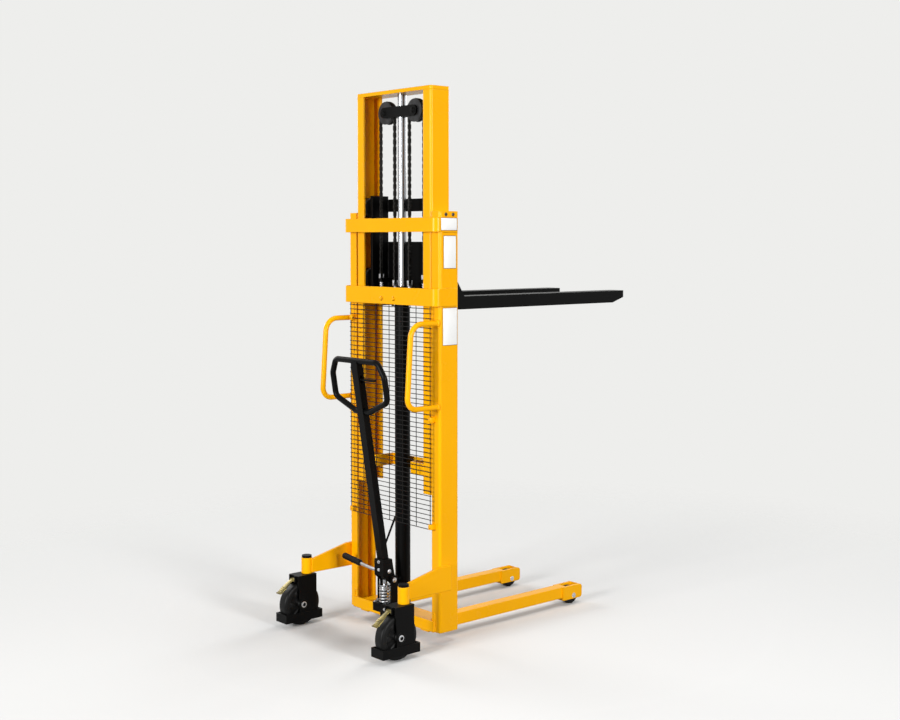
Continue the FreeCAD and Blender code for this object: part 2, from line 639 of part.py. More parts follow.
# Chain anchors: a plate on the lower strap with two arms for the ends of the chains
anchor_half = "(chain_in_low + chain_thick + anchor_margin)"
anchor_plate = box("anchor_back", ("2 * " + anchor_half, "anchor_plate", "anchor_plate_tall"),
                   ("-" + anchor_half, "-strap_gap", "anchor_plate_low"))
anchor_arm = box("anchor_arm", ("chain_thick + 2 * anchor_margin", "ram_depth + chain_wide / 2 + strap_gap",
                                "anchor_tall"),
                 ("chain_in_low - anchor_margin", "-strap_gap", "anchor_low"))
keep(fuse("chain_anchors", anchor_plate, anchor_arm, mirrored("anchor_arm_twin", anchor_arm)))

# Guide pads in the tops of the outer channels
pad = box("guide_pad", ("mast_half - web_thick - inner_half - slide_gap",
                        "channel_depth - 2 * flange_thick", "pad_tall"),
          ("inner_half + slide_gap", "flange_thick", "mast_top - pad_drop - pad_tall"))
keep(pair("mast_guide_pads", pad))


# Inner mast: two channels with a stub pin each, a top plate and a rear bar
def inner_upright():
    rail = channel("inner_rail", "inner_half", "inner_foot", "inner_crown")
    stub = rod("inner_stub", "roller_pin_radius", "roller_edge + roller_wide + web_thick + mast_gap",
               ("inner_half - web_thick", "channel_middle", "inner_foot + inner_roller_rise"), "x")
    return fuse("inner_mast_right", rail, stub)


right_inner = inner_upright()
keep(right_inner, mirrored("inner_mast_left", right_inner))
top_plate = padded(
    "inner_top_plate", "XY_Plane",
    [("-inner_half", "0"), ("inner_half", "0"), ("inner_half", "channel_depth"),
     ("-inner_half", "channel_depth")],
    "top_plate_thick", ("0", "0", "inner_crown"))
keep(rounded(top_plate, "mast_round", upright))
recess_edge = "(recess_half - flange_thick)"
keep(padded(
    "inner_lower_bar", "XY_Plane",
    [("-inner_in", "0"), ("-" + recess_edge, "0"), ("-" + recess_edge, "recess_deep - flange_thick"),
     (recess_edge, "recess_deep - flange_thick"), (recess_edge, "0"), ("inner_in", "0"),
     ("inner_in", "flange_thick"), ("recess_half", "flange_thick"), ("recess_half", "recess_deep"),
     ("-recess_half", "recess_deep"), ("-recess_half", "flange_thick"), ("-inner_in", "flange_thick")],
    "lower_bar_tall", ("0", "0", "lower_bar_low")))
inner_roller = plain_roller(
    "inner_roller", "roller_radius", "roller_wide", "roller_pin_radius", "roller_edge",
    ("inner_half + mast_gap + roller_edge", "channel_middle", "inner_foot + inner_roller_rise"))
keep(pair("inner_mast_rollers", inner_roller))

# Ram, crosshead and sheaves
ram = rod("ram_bar", "ram_radius", "inner_crown - ram_foot - face_gap", ("0", "ram_depth", "ram_foot"))
piston = rod("piston", "cylinder_bore - face_gap", "piston_tall", ("0", "ram_depth", "ram_foot"))
keep(fuse("piston_rod", ram, piston))


def crosshead():
    low = "sheave_height - head_tall / 2"
    plates = []
    for name, depth in (("rear", "ram_depth - head_half_gap - head_plate"),
                        ("front", "ram_depth + head_half_gap")):
        plates.append(box("head_plate_" + name, ("2 * sheave_side", "head_plate", "head_tall"),
                          ("-sheave_side", depth, low)))
        plates += [rod("head_end_%s_%s" % (name, way), "head_tall / 2", "head_plate",
                       (side, depth, "sheave_height"), "y")
                   for way, side in (("right", "sheave_side"), ("left", "-sheave_side"))]
    block = box("head_middle", ("head_block", "2 * head_half_gap", "head_tall"),
                ("-head_block / 2", "ram_depth - head_half_gap", low))
    pins = [rod("sheave_pin_" + name, "sheave_pin_radius", "2 * (head_half_gap + head_plate)",
                (side, "ram_depth - head_half_gap - head_plate", "sheave_height"), "y")
            for name, side in (("right", "sheave_side"), ("left", "-sheave_side"))]
    bore = rod("head_bore", "ram_radius", "head_tall + 2 * overrun", ("0", "ram_depth", low + " - overrun"))
    return cut("sheave_crosshead", fuse("head_blank", *plates, block, *pins), bore)


keep(crosshead())
groove = "(sheave_wide - groove_wide) / 2"
right_sheave = turned(
    "right_chain_sheave",
    [("sheave_pin_radius + running_fit", "0"), ("sheave_radius", "0"), ("sheave_radius", groove),
     ("groove_radius", groove), ("groove_radius", "sheave_wide - " + groove),
     ("sheave_radius", "sheave_wide - " + groove), ("sheave_radius", "sheave_wide"),
     ("sheave_pin_radius + running_fit", "sheave_wide")],
    ("sheave_side", "ram_depth - sheave_wide / 2", "sheave_height"), "y")
keep(right_sheave, mirrored("left_chain_sheave", right_sheave))


# Lift chains: from the anchors up to the sheaves, over them, and down to the carriage
def chain_run(name, side, low, high):
    return box(name, ("chain_thick", "chain_wide", "%s - (%s)" % (high, low)),
               (side, "ram_depth - chain_wide / 2", low))


keep(pair("chain_back_lower", chain_run("back_low_run", "chain_in_low", "chain_foot", "back_split")))
keep(pair("chain_back_upper", chain_run("back_high_run", "chain_in_low", "back_split", "sheave_height")))
chain_start = ("sheave_side", "ram_depth - chain_wide / 2", "sheave_height")
wrap_outside = rod("wrap_outside", "chain_outer", "chain_wide", chain_start, "y")
wrap_inside = rod("wrap_inside", "groove_radius + face_gap", "chain_wide", chain_start, "y")
wrap_below = box("wrap_below", ("2 * chain_outer", "chain_wide", "chain_outer"),
                 ("sheave_side - chain_outer", "ram_depth - chain_wide / 2", "sheave_height - chain_outer"))
wrap = cut("chain_wrap", wrap_outside, fuse("wrap_openings", wrap_inside, wrap_below))
front_high = chain_run("front_high_run", "chain_out_low", "front_split", "sheave_height")
keep(pair("chain_front_upper", fuse("front_upper_chain", wrap, front_high)))
keep(pair("chain_front_lower", chain_run("front_low_run", "chain_out_low", "lower_roller", "front_split")))

# Carriage: side plates with roller pins, a top bar, a lower plate with chain lugs, and two forks
side_plate = box("side_plate",
                 ("side_plate_thick", "carriage_front - side_plate_back", "carriage_top - plate_low"),
                 ("side_plate_in", "side_plate_back", "plate_low"))
side_pins = [rod("side_pin_" + name, "roller_pin_radius", "roller_in + roller_wide - side_plate_in",
                 ("side_plate_in", "channel_middle", height), "x")
             for name, height in (("high", "upper_roller"), ("low", "lower_roller"))]
keep(pair("carriage_side_plates", fuse("side_frame", side_plate, *side_pins)))
keep(box("carriage_top_bar", ("2 * (side_plate_in + side_plate_thick)", "carriage_plate", "top_bar_tall"),
         ("-side_plate_in - side_plate_thick", "carriage_front", "top_bar_low")))
lower_plate = box("lower_plate", ("2 * plate_half", "carriage_plate", "plate_top - plate_low"),
                  ("-plate_half", "carriage_front", "plate_low"))
lug = box("chain_lug", ("chain_thick + 2 * anchor_margin", "carriage_front - ram_depth + chain_wide / 2",
                        "lug_tall"),
          ("chain_out_low - anchor_margin", "ram_depth - chain_wide / 2", "lower_roller - lug_tall"))
keep(fuse("carriage_lower_plate", lower_plate, lug, mirrored("chain_lug_twin", lug)))
for level in ("upper", "lower"):
    roller = plain_roller(level + "_roller_wheel", "roller_radius", "roller_wide", "roller_pin_radius",
                          "roller_edge", ("roller_in", "channel_middle", level + "_roller"))
    keep(pair(level + "_carriage_rollers", roller))


# Forks: folded plate blades, open underneath so that they drop over the legs
def fork(label):
    left = "fork_middle - fork_wide / 2"
    blade = padded(
        label + "_blade", "YZ_Plane",
        [("carriage_face", "fork_top"), ("carriage_face", "fork_top - fork_deep"),
         ("fork_tip - fork_taper", "fork_top - fork_deep"), ("fork_tip", "fork_top - fork_tip_deep"),
         ("fork_tip", "fork_top")],
        "fork_wide", (left, "0", "0"))
    front = num("fork_tip") - num("overrun")
    rounded(blade, "fork_round", lambda edge: upright(edge) and edge.CenterOfMass.y > front)
    hollow = box(label + "_hollow", ("fork_wide - 2 * fork_wall",
                                     "fork_tip - carriage_face - fork_skin + overrun",
                                     "fork_deep - fork_skin + overrun"),
                 (left + " + fork_wall", "carriage_face - overrun", "fork_top - fork_deep - overrun"))
    gussets = [padded(
        label + "_gusset_" + name, "YZ_Plane",
        [("carriage_face", "fork_top"), ("carriage_face + gusset_long", "fork_top"),
         ("carriage_face", "fork_top + gusset_tall")],
        "gusset_thick", (side, "0", "0"))
        for name, side in (("in", left), ("out", left + " + fork_wide - gusset_thick"))]
    return fuse(label, cut(label + "_shell", blade, hollow), *gussets)


right_fork = fork("right_fork")
keep(right_fork, mirrored("left_fork", right_fork))

# Pump: a cast block with two ears for the tiller's pin, and a sprung plunger
pump_block = padded(
    "pump_block", "XY_Plane",
    [("-pump_half", "-pump_deep"), ("pump_half", "-pump_deep"),
     ("pump_half", "-base_thick"), ("-pump_half", "-base_thick")],
    "pump_top - pump_low", ("0", "0", "pump_low"))
rear_line = num("pump_deep / 2")
rounded(pump_block, "pump_round", lambda edge: upright(edge) and edge.CenterOfMass.y < -rear_line)
pump_barrel = rod("pump_barrel", "barrel_radius", "barrel_tall + overrun",
                  ("0", "-plunger_back", "pump_low - barrel_tall"))
pump_ear = box("pump_ear", ("ear_thick", "ear_deep", "pivot_height + ear_over - pump_top"),
               ("ear_in", "-pivot_back - ear_deep / 2 - running_fit", "pump_top"))
plunger_bore = rod("plunger_bore", "plunger_radius + running_fit", "plunger_sunk + plunger_room + overrun",
                   ("0", "-plunger_back", "pump_top - plunger_sunk - plunger_room"))
pin_hole = rod("pin_hole", "pivot_radius", "2 * (ear_in + ear_thick) + 2 * overrun",
               ("-ear_in - ear_thick - overrun", "-pivot_back", "pivot_height"), "x")
keep(cut("pump_body", fuse("pump_blank", pump_block, pump_barrel, pump_ear,
                          mirrored("pump_ear_twin", pump_ear)),
         fuse("pump_openings", plunger_bore, pin_hole)))
keep(rod("pivot_pin", "pivot_radius", "2 * (ear_in + ear_thick)",
         ("-ear_in - ear_thick", "-pivot_back", "pivot_height"), "x"))
plunger_bar = rod("plunger_bar", "plunger_radius", "plunger_top - pump_top + plunger_sunk",
                  ("0", "-plunger_back", "pump_top - plunger_sunk"))
plunger_collar = rod("plunger_collar", "collar_radius", "collar_tall", ("0", "-plunger_back", "collar_low"))
keep(fuse("pump_plunger", plunger_bar, plunger_collar))


def coil_path(radius, low, high, turn_count, lead):
    # a spring's centre line: quarter turns of a helix, each as two tangent arcs, and a lead at each end
    quarters = 4 * turn_count
    rise = (high - low) / quarters
    slope = rise / (math.pi / 2)
    steep = math.hypot(radius, slope)

    def at(quarter):
        angle = quarter * math.pi / 2
        spot = vector(radius * math.cos(angle), radius * math.sin(angle), low + rise * quarter)
        heading = vector(-radius * math.sin(angle), radius * math.cos(angle), slope) / steep
        return spot, heading

    def arc(start, heading, end):
        span = (end - start).Length
        along = (end - start) / span
        bow = (heading - along * heading.dot(along)).normalize()
        middle = (start + end) / 2 + bow * (span / 2 * math.tan(heading.getAngle(along) / 2))
        return Part.Arc(start, middle, end).toShape()

    edges = []
    first, first_heading = at(0)
    edges.append(Part.LineSegment(first - first_heading * lead, first).toShape())
    for quarter in range(quarters):
        start, leaving = at(quarter)
        end, arriving = at(quarter + 1)
        chord = end - start
        both = leaving + arriving
        bend = 2 * (1 - leaving.dot(arriving))
        reach = (-chord.dot(both) + math.sqrt(chord.dot(both) ** 2 + bend * chord.dot(chord))) / bend
        joint = (start + leaving * reach + end - arriving * reach) / 2
        edges.append(arc(start, leaving, joint))
        edges.append(arc(end, arriving * -1, joint))
    last, last_heading = at(quarters)
    edges.append(Part.LineSegment(last, last + last_heading * lead).toShape())
    return Part.Wire(Part.__sortEdges__(edges))


def pump_spring():
    wire = num("spring_wire")
    radius = num("spring_radius")
    count = int(num("spring_turns"))
    seat = num("face_gap") + wire
    low = num("pump_top") + seat
    high = num("collar_low") - seat
    lead = 2 * wire
    slope = (high - low) / (2 * math.pi * count)
    path = coil_path(radius, low + slope / radius * lead, high - slope / radius * lead, count, lead)
    line = path.discretize(Number=count * 48)
    far = len(line) // count // 2
    near = min((one - other).Length for index, one in enumerate(line) for other in line[index + far:])
    print("pump spring: least gap to itself %.2f mm" % (near - 2 * wire))
    return swept(path, wire)


keep(formed("pump_spring", pump_spring(), ("0", "-plunger_back", "0")))

# Oil pipe: from a union on the cylinder's side down to the top of the pump
pipe_path = bent_path(
    spots(("-cylinder_radius", "ram_depth", "pipe_top"), ("-pipe_side", "ram_depth", "pipe_top"),
          ("-pipe_side", "-pipe_end_back", "pipe_turn"), ("-pipe_side", "-pipe_end_back", "pump_top")),
    [num("pipe_side - cylinder_radius") - num("pipe_radius"), num("pipe_bend")])
keep(formed("oil_pipe", swept(pipe_path, num("pipe_radius"))))

# Tiller: a rocker on the pump's pin, a leaning shaft with a loop handle, and a foot pedal.
# Its pieces are drawn upright round the pivot, then set there.
pivot = ("0", "-pivot_back", "pivot_height")
block_half = "(shaft_wide / 2 + block_wall)"


def leaning(piece):
    # tips a piece about the pivot towards the operator
    piece.Placement = FreeCAD.Placement(vector(), FreeCAD.Rotation(vector(1, 0, 0), num("tiller_lean")))
    place(piece, pivot)
    return piece


def tiller_box(name, size, at):
    return box(name, size, at, False)


shaft_side = "-shaft_offset - shaft_deep / 2"
rocker_hub = rod("rocker_hub", "rocker_radius", "2 * rocker_half", ("-rocker_half", "0", "0"), "x", False)
rocker_neck = tiller_box("rocker_neck",
                         ("2 * " + block_half, "2 * rocker_radius", "rocker_block_low + overrun"),
                         ("-" + block_half, "-rocker_radius", "0"))
rocker_block = tiller_box("rocker_block", ("2 * " + block_half, "rocker_block_back - rocker_block_front",
                                           "rocker_block_tall"),
                          ("-" + block_half, "-rocker_block_back", "rocker_block_low"))
rocker_cheeks = [padded(
    "rocker_cheek_" + way, "YZ_Plane",
    [("-rocker_block_front", "rocker_block_low + rocker_block_tall"), ("rocker_radius", "0"),
     ("rocker_radius", "-rocker_radius"), ("-cheek_slant", "-cheek_drop"), ("-cheek_back", "-cheek_drop"),
     ("-rocker_block_back", "rocker_block_low + overrun"),
     ("-rocker_block_back", "rocker_block_low + rocker_block_tall")],
    "cheek_thick", (side, "0", "0"), False)
    for way, side in (("left", "-rocker_half"), ("right", "cheek_in"))]
rocker_nose = rod("rocker_nose", "nose_radius", "2 * nose_half",
                  ("-nose_half", "-nose_back", "nose_rise"), "x", False)
rocker_bore = rod("rocker_bore", "pivot_radius + running_fit", "2 * rocker_half + 2 * overrun",
                  ("-rocker_half - overrun", "0", "0"), "x", False)
shaft_socket = tiller_box("shaft_socket", ("shaft_wide", "shaft_deep", "2 * rocker_block_tall"),
                          ("-shaft_wide / 2", shaft_side, "shaft_start"))
shaft_room = group("shaft_room", shaft_socket)
shaft_room.Placement = FreeCAD.Placement(vector(), FreeCAD.Rotation(vector(1, 0, 0), num("tiller_lean")))
rocker_blank = fuse("rocker_blank", rocker_hub, rocker_neck, rocker_block, rocker_nose, *rocker_cheeks)
rocker = cut("tiller_rocker", rocker_blank, fuse("rocker_openings", rocker_bore, shaft_room))
place(rocker, pivot)
keep(rocker)

# Loop handle: a bent bar, symmetrical about the shaft
loop_corners = [("0", "loop_top"), ("loop_top_half", "loop_top"), ("loop_half", "loop_cheek"),
                ("loop_half", "loop_shoulder"), ("loop_foot_half", "loop_low"), ("0", "loop_low")]
loop_path = bent_path(spots(*[(x, "-shaft_offset", z) for x, z in loop_corners]), [num("loop_bend")] * 4)
half_loop = doc.addObject("Part::Feature", "half_loop")
half_loop.Shape = swept(loop_path, num("loop_radius"))
loop_ring = fuse("loop_ring", half_loop, mirrored("half_loop_twin", half_loop))
keep(leaning(group("tiller_loop", loop_ring)))

shaft_bar = tiller_box("shaft_bar", ("shaft_wide", "shaft_deep", "loop_top - shaft_start"),
                       ("-shaft_wide / 2", shaft_side, "shaft_start"))
lever_slot = tiller_box("lever_slot", ("shaft_wide + overrun - lever_inset", "lever_deep + 2 * face_gap",
                                       "2 * lever_room"),
                        ("lever_inset - shaft_wide / 2", "-shaft_offset - lever_deep / 2 - face_gap",
                         "lever_height - lever_room"))
lever_spot = ("lever_side", "-shaft_offset - shaft_deep / 2", "lever_height")
lever_pin = rod("lever_pin", "lever_pin_radius", "shaft_deep", lever_spot, "y", False)
slotted = cut("slotted_shaft", shaft_bar, fuse("shaft_openings", loop_ring, lever_slot))
keep(leaning(fuse("tiller_shaft", slotted, lever_pin)))

# Finger lever: swings on a pin through the shaft, inside the loop
lever_start = "-shaft_offset - lever_deep / 2"
lever_hub = rod("lever_hub", "lever_hub_radius", "lever_deep",
                ("lever_side", lever_start, "lever_height"), "y", False)
lever_bar = tiller_box("lever_bar", ("lever_long", "lever_deep", "lever_thick"),
                       ("lever_side", lever_start, "lever_height - lever_thick / 2"))
lever_bore = rod("lever_bore", "lever_pin_radius + running_fit", "lever_deep + 2 * overrun",
                 ("lever_side", lever_start + " - overrun", "lever_height"), "y", False)
keep(leaning(cut("finger_lever", fuse("lever_blank", lever_hub, lever_bar), lever_bore)))

# Foot pedal: a bar out to the left of the rocker with a rubber grip
pedal_spots = spots(("-rocker_half", "-pedal_back", "pedal_rise"),
                    ("-rocker_half - pedal_straight", "-pedal_back", "pedal_rise"),
                    ("-pedal_long", "-pedal_back", "pedal_rise + pedal_lift"))
pedal_path = bent_path(pedal_spots, [num("pedal_bend")])
keep(formed("pedal_bar", swept(pedal_path, num("pedal_radius")), pivot))
pedal_heading = (pedal_spots[2] - pedal_spots[1]).normalize()
grip_start = pedal_spots[2] - pedal_heading * num("grip_long")
grip = Part.makeCylinder(num("grip_radius"), num("grip_long"), grip_start, pedal_heading)
grip_hole = Part.makeCylinder(num("pedal_radius"), num("grip_long"), grip_start, pedal_heading)
keep(formed("pedal_grip", grip.cut(grip_hole), pivot))

# Every object is checked before anything is written
doc.recompute()
faults = [piece.Name for piece in doc.Objects if {"Invalid", "Error"} & set(piece.State)]
faults += [piece.Label for piece in nodes if piece.Shape.isNull() or not piece.Shape.isValid()]
if faults:
    raise RuntimeError("failed objects: " + ", ".join(faults))
os.makedirs("parts", exist_ok=True)
for piece in nodes:
    piece.Shape.exportStep(os.path.join("parts", piece.Label + ".step"))
    print("%-24s %d solids, %.1f cm3" % (piece.Label, len(piece.Shape.Solids), piece.Shape.Volume / 1000))
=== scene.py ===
import json
import bpy
import numpy as np
from math import pi, radians
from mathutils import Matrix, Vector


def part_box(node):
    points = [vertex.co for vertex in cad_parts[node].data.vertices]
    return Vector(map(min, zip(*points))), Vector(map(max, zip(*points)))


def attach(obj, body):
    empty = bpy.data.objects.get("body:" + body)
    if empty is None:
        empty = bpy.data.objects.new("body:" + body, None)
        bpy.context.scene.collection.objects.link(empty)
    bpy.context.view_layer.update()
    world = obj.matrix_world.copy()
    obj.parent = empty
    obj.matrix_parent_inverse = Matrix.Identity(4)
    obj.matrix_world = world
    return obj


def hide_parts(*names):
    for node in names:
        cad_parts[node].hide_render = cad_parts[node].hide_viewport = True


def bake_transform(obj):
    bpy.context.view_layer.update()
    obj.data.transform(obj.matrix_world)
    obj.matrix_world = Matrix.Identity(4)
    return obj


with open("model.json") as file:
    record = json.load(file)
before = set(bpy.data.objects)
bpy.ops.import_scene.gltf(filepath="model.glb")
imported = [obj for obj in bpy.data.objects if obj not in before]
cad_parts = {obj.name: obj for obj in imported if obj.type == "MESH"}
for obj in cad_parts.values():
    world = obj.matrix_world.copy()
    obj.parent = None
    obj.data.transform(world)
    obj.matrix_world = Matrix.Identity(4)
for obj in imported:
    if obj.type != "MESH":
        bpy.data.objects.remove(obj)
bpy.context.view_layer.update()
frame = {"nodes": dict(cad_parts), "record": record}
nodes = frame["nodes"]
print("frame loaded:", len(nodes), "nodes")


# Shader maths: a socket that takes part in Python sums and adds the Math nodes for them
class Wire:
    def __init__(self, finish, socket):
        self.finish = finish
        self.socket = socket

    def maths(self, operation, first, second=0.0, clamp=False):
        return self.finish.add("ShaderNodeMath", {"operation": operation, "use_clamp": clamp},
                               {0: first, 1: second})

    def __add__(self, other):
        return self.maths("ADD", self, other)

    def __radd__(self, other):
        return self.maths("ADD", other, self)

    def __sub__(self, other):
        return self.maths("SUBTRACT", self, other)

    def __rsub__(self, other):
        return self.maths("SUBTRACT", other, self)

    def __mul__(self, other):
        return self.maths("MULTIPLY", self, other)

    def __truediv__(self, other):
        return self.maths("DIVIDE", self, other)

    def held(self):
        return self.maths("ADD", self, 0.0, clamp=True)


# Node tree of a new material, or of another owner such as the world
class Finish:
    def __init__(self, name, owner=None):
        self.material = owner or bpy.data.materials.new(name)
        self.material.use_nodes = True
        self.tree = self.material.node_tree
        self.tree.nodes.clear()
        self.place = self.add("ShaderNodeTexCoord", out="Object")

    def add(self, kind, settings=None, sockets=None, out=0):
        node = self.tree.nodes.new(kind)
        for key, value in (settings or {}).items():
            if key == "stops":
                self.setStops(node.color_ramp.elements, value)
            else:
                setattr(node, key, value)
        for key, value in (sockets or {}).items():
            if isinstance(value, Wire):
                self.tree.links.new(value.socket, node.inputs[key])
            else:
                node.inputs[key].default_value = value
        return Wire(self, node.outputs[out]) if node.outputs else None

    def setStops(self, elements, stops):
        while len(elements) < len(stops):
            elements.new(1.0)
        for element, (where, shade) in zip(elements, stops):
            element.position = where
            element.color = (shade, shade, shade, 1.0)

    def noise(self, scale, detail=3.0, rough=0.55, stretch=(1.0, 1.0, 1.0)):
        spot = self.add("ShaderNodeMapping", {}, {"Vector": self.place, "Scale": stretch})
        return self.add("ShaderNodeTexNoise", {}, {"Vector": spot, "Scale": scale, "Detail": detail,
                                                   "Roughness": rough})

    def ramp(self, value, low, high):
        return self.add("ShaderNodeValToRGB", {"stops": ((low, 0.0), (high, 1.0))}, {0: value})

    def mix(self, share, first, second):
        return self.add("ShaderNodeMix", {"data_type": "RGBA"}, {0: share, 6: first, 7: second}, out=2)

    def edge(self, bevel, gain):
        flat = self.add("ShaderNodeNewGeometry", out="Normal")
        turn = self.add("ShaderNodeVectorMath", {"operation": "DOT_PRODUCT"}, {0: bevel, 1: flat},
                        out="Value")
        return ((1.0 - turn) * gain).held()

    def rounded(self, radius, samples):
        return self.add("ShaderNodeBevel", {"samples": samples}, {"Radius": radius})

    def bump(self, strength, distance, height, normal):
        return self.add("ShaderNodeBump", {}, {"Strength": strength, "Distance": distance, "Height": height,
                                               "Normal": normal})

    def seen(self):
        # 1 where the camera sees, straight on, mirrored or through glass, and 0 for light that spreads
        rays = [self.add("ShaderNodeLightPath", out="Is " + kind + " Ray")
                for kind in ("Camera", "Glossy", "Transmission")]
        return sum(rays).held()

    def close(self, **sockets):
        names = {"colour": "Base Color", "rough": "Roughness", "metal": "Metallic", "normal": "Normal",
                 "specular": "Specular IOR Level"}
        shader = self.add("ShaderNodeBsdfPrincipled", {},
                          {names[key]: value for key, value in sockets.items()})
        self.add("ShaderNodeOutputMaterial", {}, {"Surface": shader})
        return self.material


def linear(red, green, blue):
    # written screen values from 0 to 255, turned into the light values that a shader takes (the sRGB curve)
    screen = np.array((red, green, blue)) / 255
    light = np.where(screen <= 0.04045, screen / 12.92, ((screen + 0.055) / 1.055) ** 2.4)
    return (*light, 1.0)


# Finishes: a look holds what differs between materials, and a grain what one kind of finish shares
coatGrain = {"samples": 6, "driftScale": 5.0, "driftDetail": 4.0, "driftRamp": (0.3, 0.75), "driftDull": 0.12,
             "peelDetail": 2.0, "peelDeep": 0.0004, "scuffScale": 90.0, "scuffDetail": 6.0, "scuffGrain": 0.7,
             "scuffStretch": (1.0, 1.0, 0.35), "scuffRamp": (0.45, 0.7), "markScale": 26.0,
             "markDetail": 8.0, "markGrain": 0.75, "markRamp": (0.66, 0.8), "markDull": 0.3}


def coated(name, look):
    # powder coat: orange-peel bump, slow colour drift, small dull marks, and patchy edges in a paler colour,
    # which is a painted highlight on the yellow coat and grey bare-metal wear on the black coat
    finish = Finish(name)
    grain = coatGrain
    bevel = finish.rounded(look["bevel"], grain["samples"])
    drift = finish.noise(grain["driftScale"], grain["driftDetail"])
    peel = finish.noise(look["peelScale"], grain["peelDetail"])
    scuff = finish.noise(grain["scuffScale"], grain["scuffDetail"], grain["scuffGrain"],
                         grain["scuffStretch"])
    edgeMask = finish.edge(bevel, look["edgeGain"]) * finish.ramp(scuff, *grain["scuffRamp"])
    drifted = finish.ramp(drift, *grain["driftRamp"]) * look["drift"]
    spots = finish.noise(grain["markScale"], grain["markDetail"], grain["markGrain"])
    marks = finish.ramp(spots, *grain["markRamp"]) * look["marks"]
    body = finish.mix(drifted, look["colour"], look["shade"])
    body = finish.mix(marks, body, look["mark"])
    # edges: a pale yellow painted highlight on the yellow coat, grey bare-metal wear on the black coat
    body = finish.mix(edgeMask * look["edgeShare"], body, look["edgeWearAndHighlight"])
    rough = look["rough"] + drift * grain["driftDull"] + marks * grain["markDull"]
    return finish.close(colour=body, rough=rough.held(), specular=look["specular"],
                        normal=finish.bump(look["peel"], grain["peelDeep"], peel, bevel))


# the yellow coat's edge colour is a pale yellow painted highlight along its rounded edges
yellowLook = {"colour": linear(252, 180, 2), "shade": linear(248, 171, 1), "mark": linear(196, 128, 10),
              "edgeWearAndHighlight": linear(255, 205, 60), "bevel": 0.005, "peelScale": 420.0, "peel": 0.12, "drift": 0.6,
              "marks": 0.12, "edgeShare": 0.55, "edgeGain": 4.0, "rough": 0.2, "specular": 0.13}
blackLook = {"colour": linear(6, 6, 6), "shade": linear(10, 10, 10), "mark": linear(44, 43, 41),
             "edgeWearAndHighlight": linear(92, 90, 86), "bevel": 0.0018, "peelScale": 520.0, "peel": 0.15, "drift": 0.7,
             "marks": 0.15, "edgeShare": 0.4, "edgeGain": 5.0, "rough": 0.32, "specular": 0.07}


metalGrain = {"samples": 4, "streakDetail": 3.0, "streakGrain": 0.6, "streakDeep": 0.0002,
              "blotchDetail": 4.0, "blotchRamp": (0.35, 0.7)}


def plated(name, look):
    # bare or plated metal: fine brushed streaks along one axis and a slow blotch of colour
    finish = Finish(name)
    grain = metalGrain
    bevel = finish.rounded(look["bevel"], grain["samples"])
    streak = finish.noise(look["streakScale"], grain["streakDetail"], grain["streakGrain"], look["streak"])
    blotch = finish.ramp(finish.noise(look["blotchScale"], grain["blotchDetail"]), *grain["blotchRamp"])
    colour = finish.mix(blotch * look["blotch"], look["colour"], look["stain"])
    rough = look["rough"] + streak * look["roughSpread"]
    return finish.close(colour=colour, rough=rough.held(), metal=look["metal"],
                        normal=finish.bump(look["grain"], grain["streakDeep"], streak, bevel))


chromeLook = {"colour": linear(168, 170, 174), "stain": linear(150, 151, 152), "bevel": 0.0008, "blotch": 0.5,
              "blotchScale": 9.0, "streak": (1.0, 1.0, 0.02), "streakScale": 900.0, "rough": 0.12,
              "roughSpread": 0.08, "grain": 0.02, "metal": 1.0}
zincLook = {"colour": linear(205, 207, 210), "stain": linear(168, 170, 172), "bevel": 0.0006, "blotch": 0.8,
            "blotchScale": 60.0, "streak": (1.0, 1.0, 1.0), "streakScale": 700.0, "rough": 0.24,
            "roughSpread": 0.2, "grain": 0.08, "metal": 1.0}
goldZincLook = {"colour": linear(134, 120, 68), "stain": linear(88, 80, 52), "bevel": 0.0008, "blotch": 1.0,
                "blotchScale": 45.0, "streak": (1.0, 1.0, 1.0), "streakScale": 600.0, "rough": 0.28,
                "roughSpread": 0.2, "grain": 0.1, "metal": 1.0}
oiledLook = {"colour": linear(58, 57, 55), "stain": linear(30, 28, 26), "bevel": 0.0004, "blotch": 0.9,
             "blotchScale": 120.0, "streak": (1.0, 1.0, 1.0), "streakScale": 800.0, "rough": 0.3,
             "roughSpread": 0.25, "grain": 0.1, "metal": 0.9}
turnedLook = {"colour": linear(70, 70, 72), "stain": linear(38, 37, 36), "bevel": 0.0008, "blotch": 0.8,
              "blotchScale": 40.0, "streak": (1.0, 0.1, 0.1), "streakScale": 900.0, "rough": 0.3,
              "roughSpread": 0.2, "grain": 0.08, "metal": 0.9}
brassLook = {"colour": linear(190, 156, 92), "stain": linear(140, 112, 64), "bevel": 0.0004, "blotch": 0.6,
             "blotchScale": 80.0, "streak": (1.0, 1.0, 0.1), "streakScale": 700.0, "rough": 0.3,
             "roughSpread": 0.15, "grain": 0.05, "metal": 1.0}


mouldGrain = {"samples": 4, "poreDetail": 3.0, "poreDeep": 0.0003, "scuffDetail": 7.0, "scuffGrain": 0.7,
              "scuffRamp": (0.52, 0.75), "scuffDull": 0.15, "edgeGain": 4.0}


def moulded(name, look):
    # rubber or nylon: fine pores, pale scuffs where the noise is high, worn edges
    finish = Finish(name)
    grain = mouldGrain
    bevel = finish.rounded(look["bevel"], grain["samples"])
    pores = finish.noise(look["poreScale"], grain["poreDetail"])
    patches = finish.noise(look["scuffScale"], grain["scuffDetail"], grain["scuffGrain"])
    scuffs = finish.ramp(patches, *grain["scuffRamp"])
    edgeMask = finish.edge(bevel, grain["edgeGain"])
    share = (scuffs * look["scuffs"] + edgeMask * look["edgeShare"]).held()
    colour = finish.mix(share, look["colour"], look["scuff"])
    rough = look["rough"] + scuffs * grain["scuffDull"]
    return finish.close(colour=colour, rough=rough.held(), specular=look["specular"],
                        normal=finish.bump(look["pore"], grain["poreDeep"], pores, bevel))


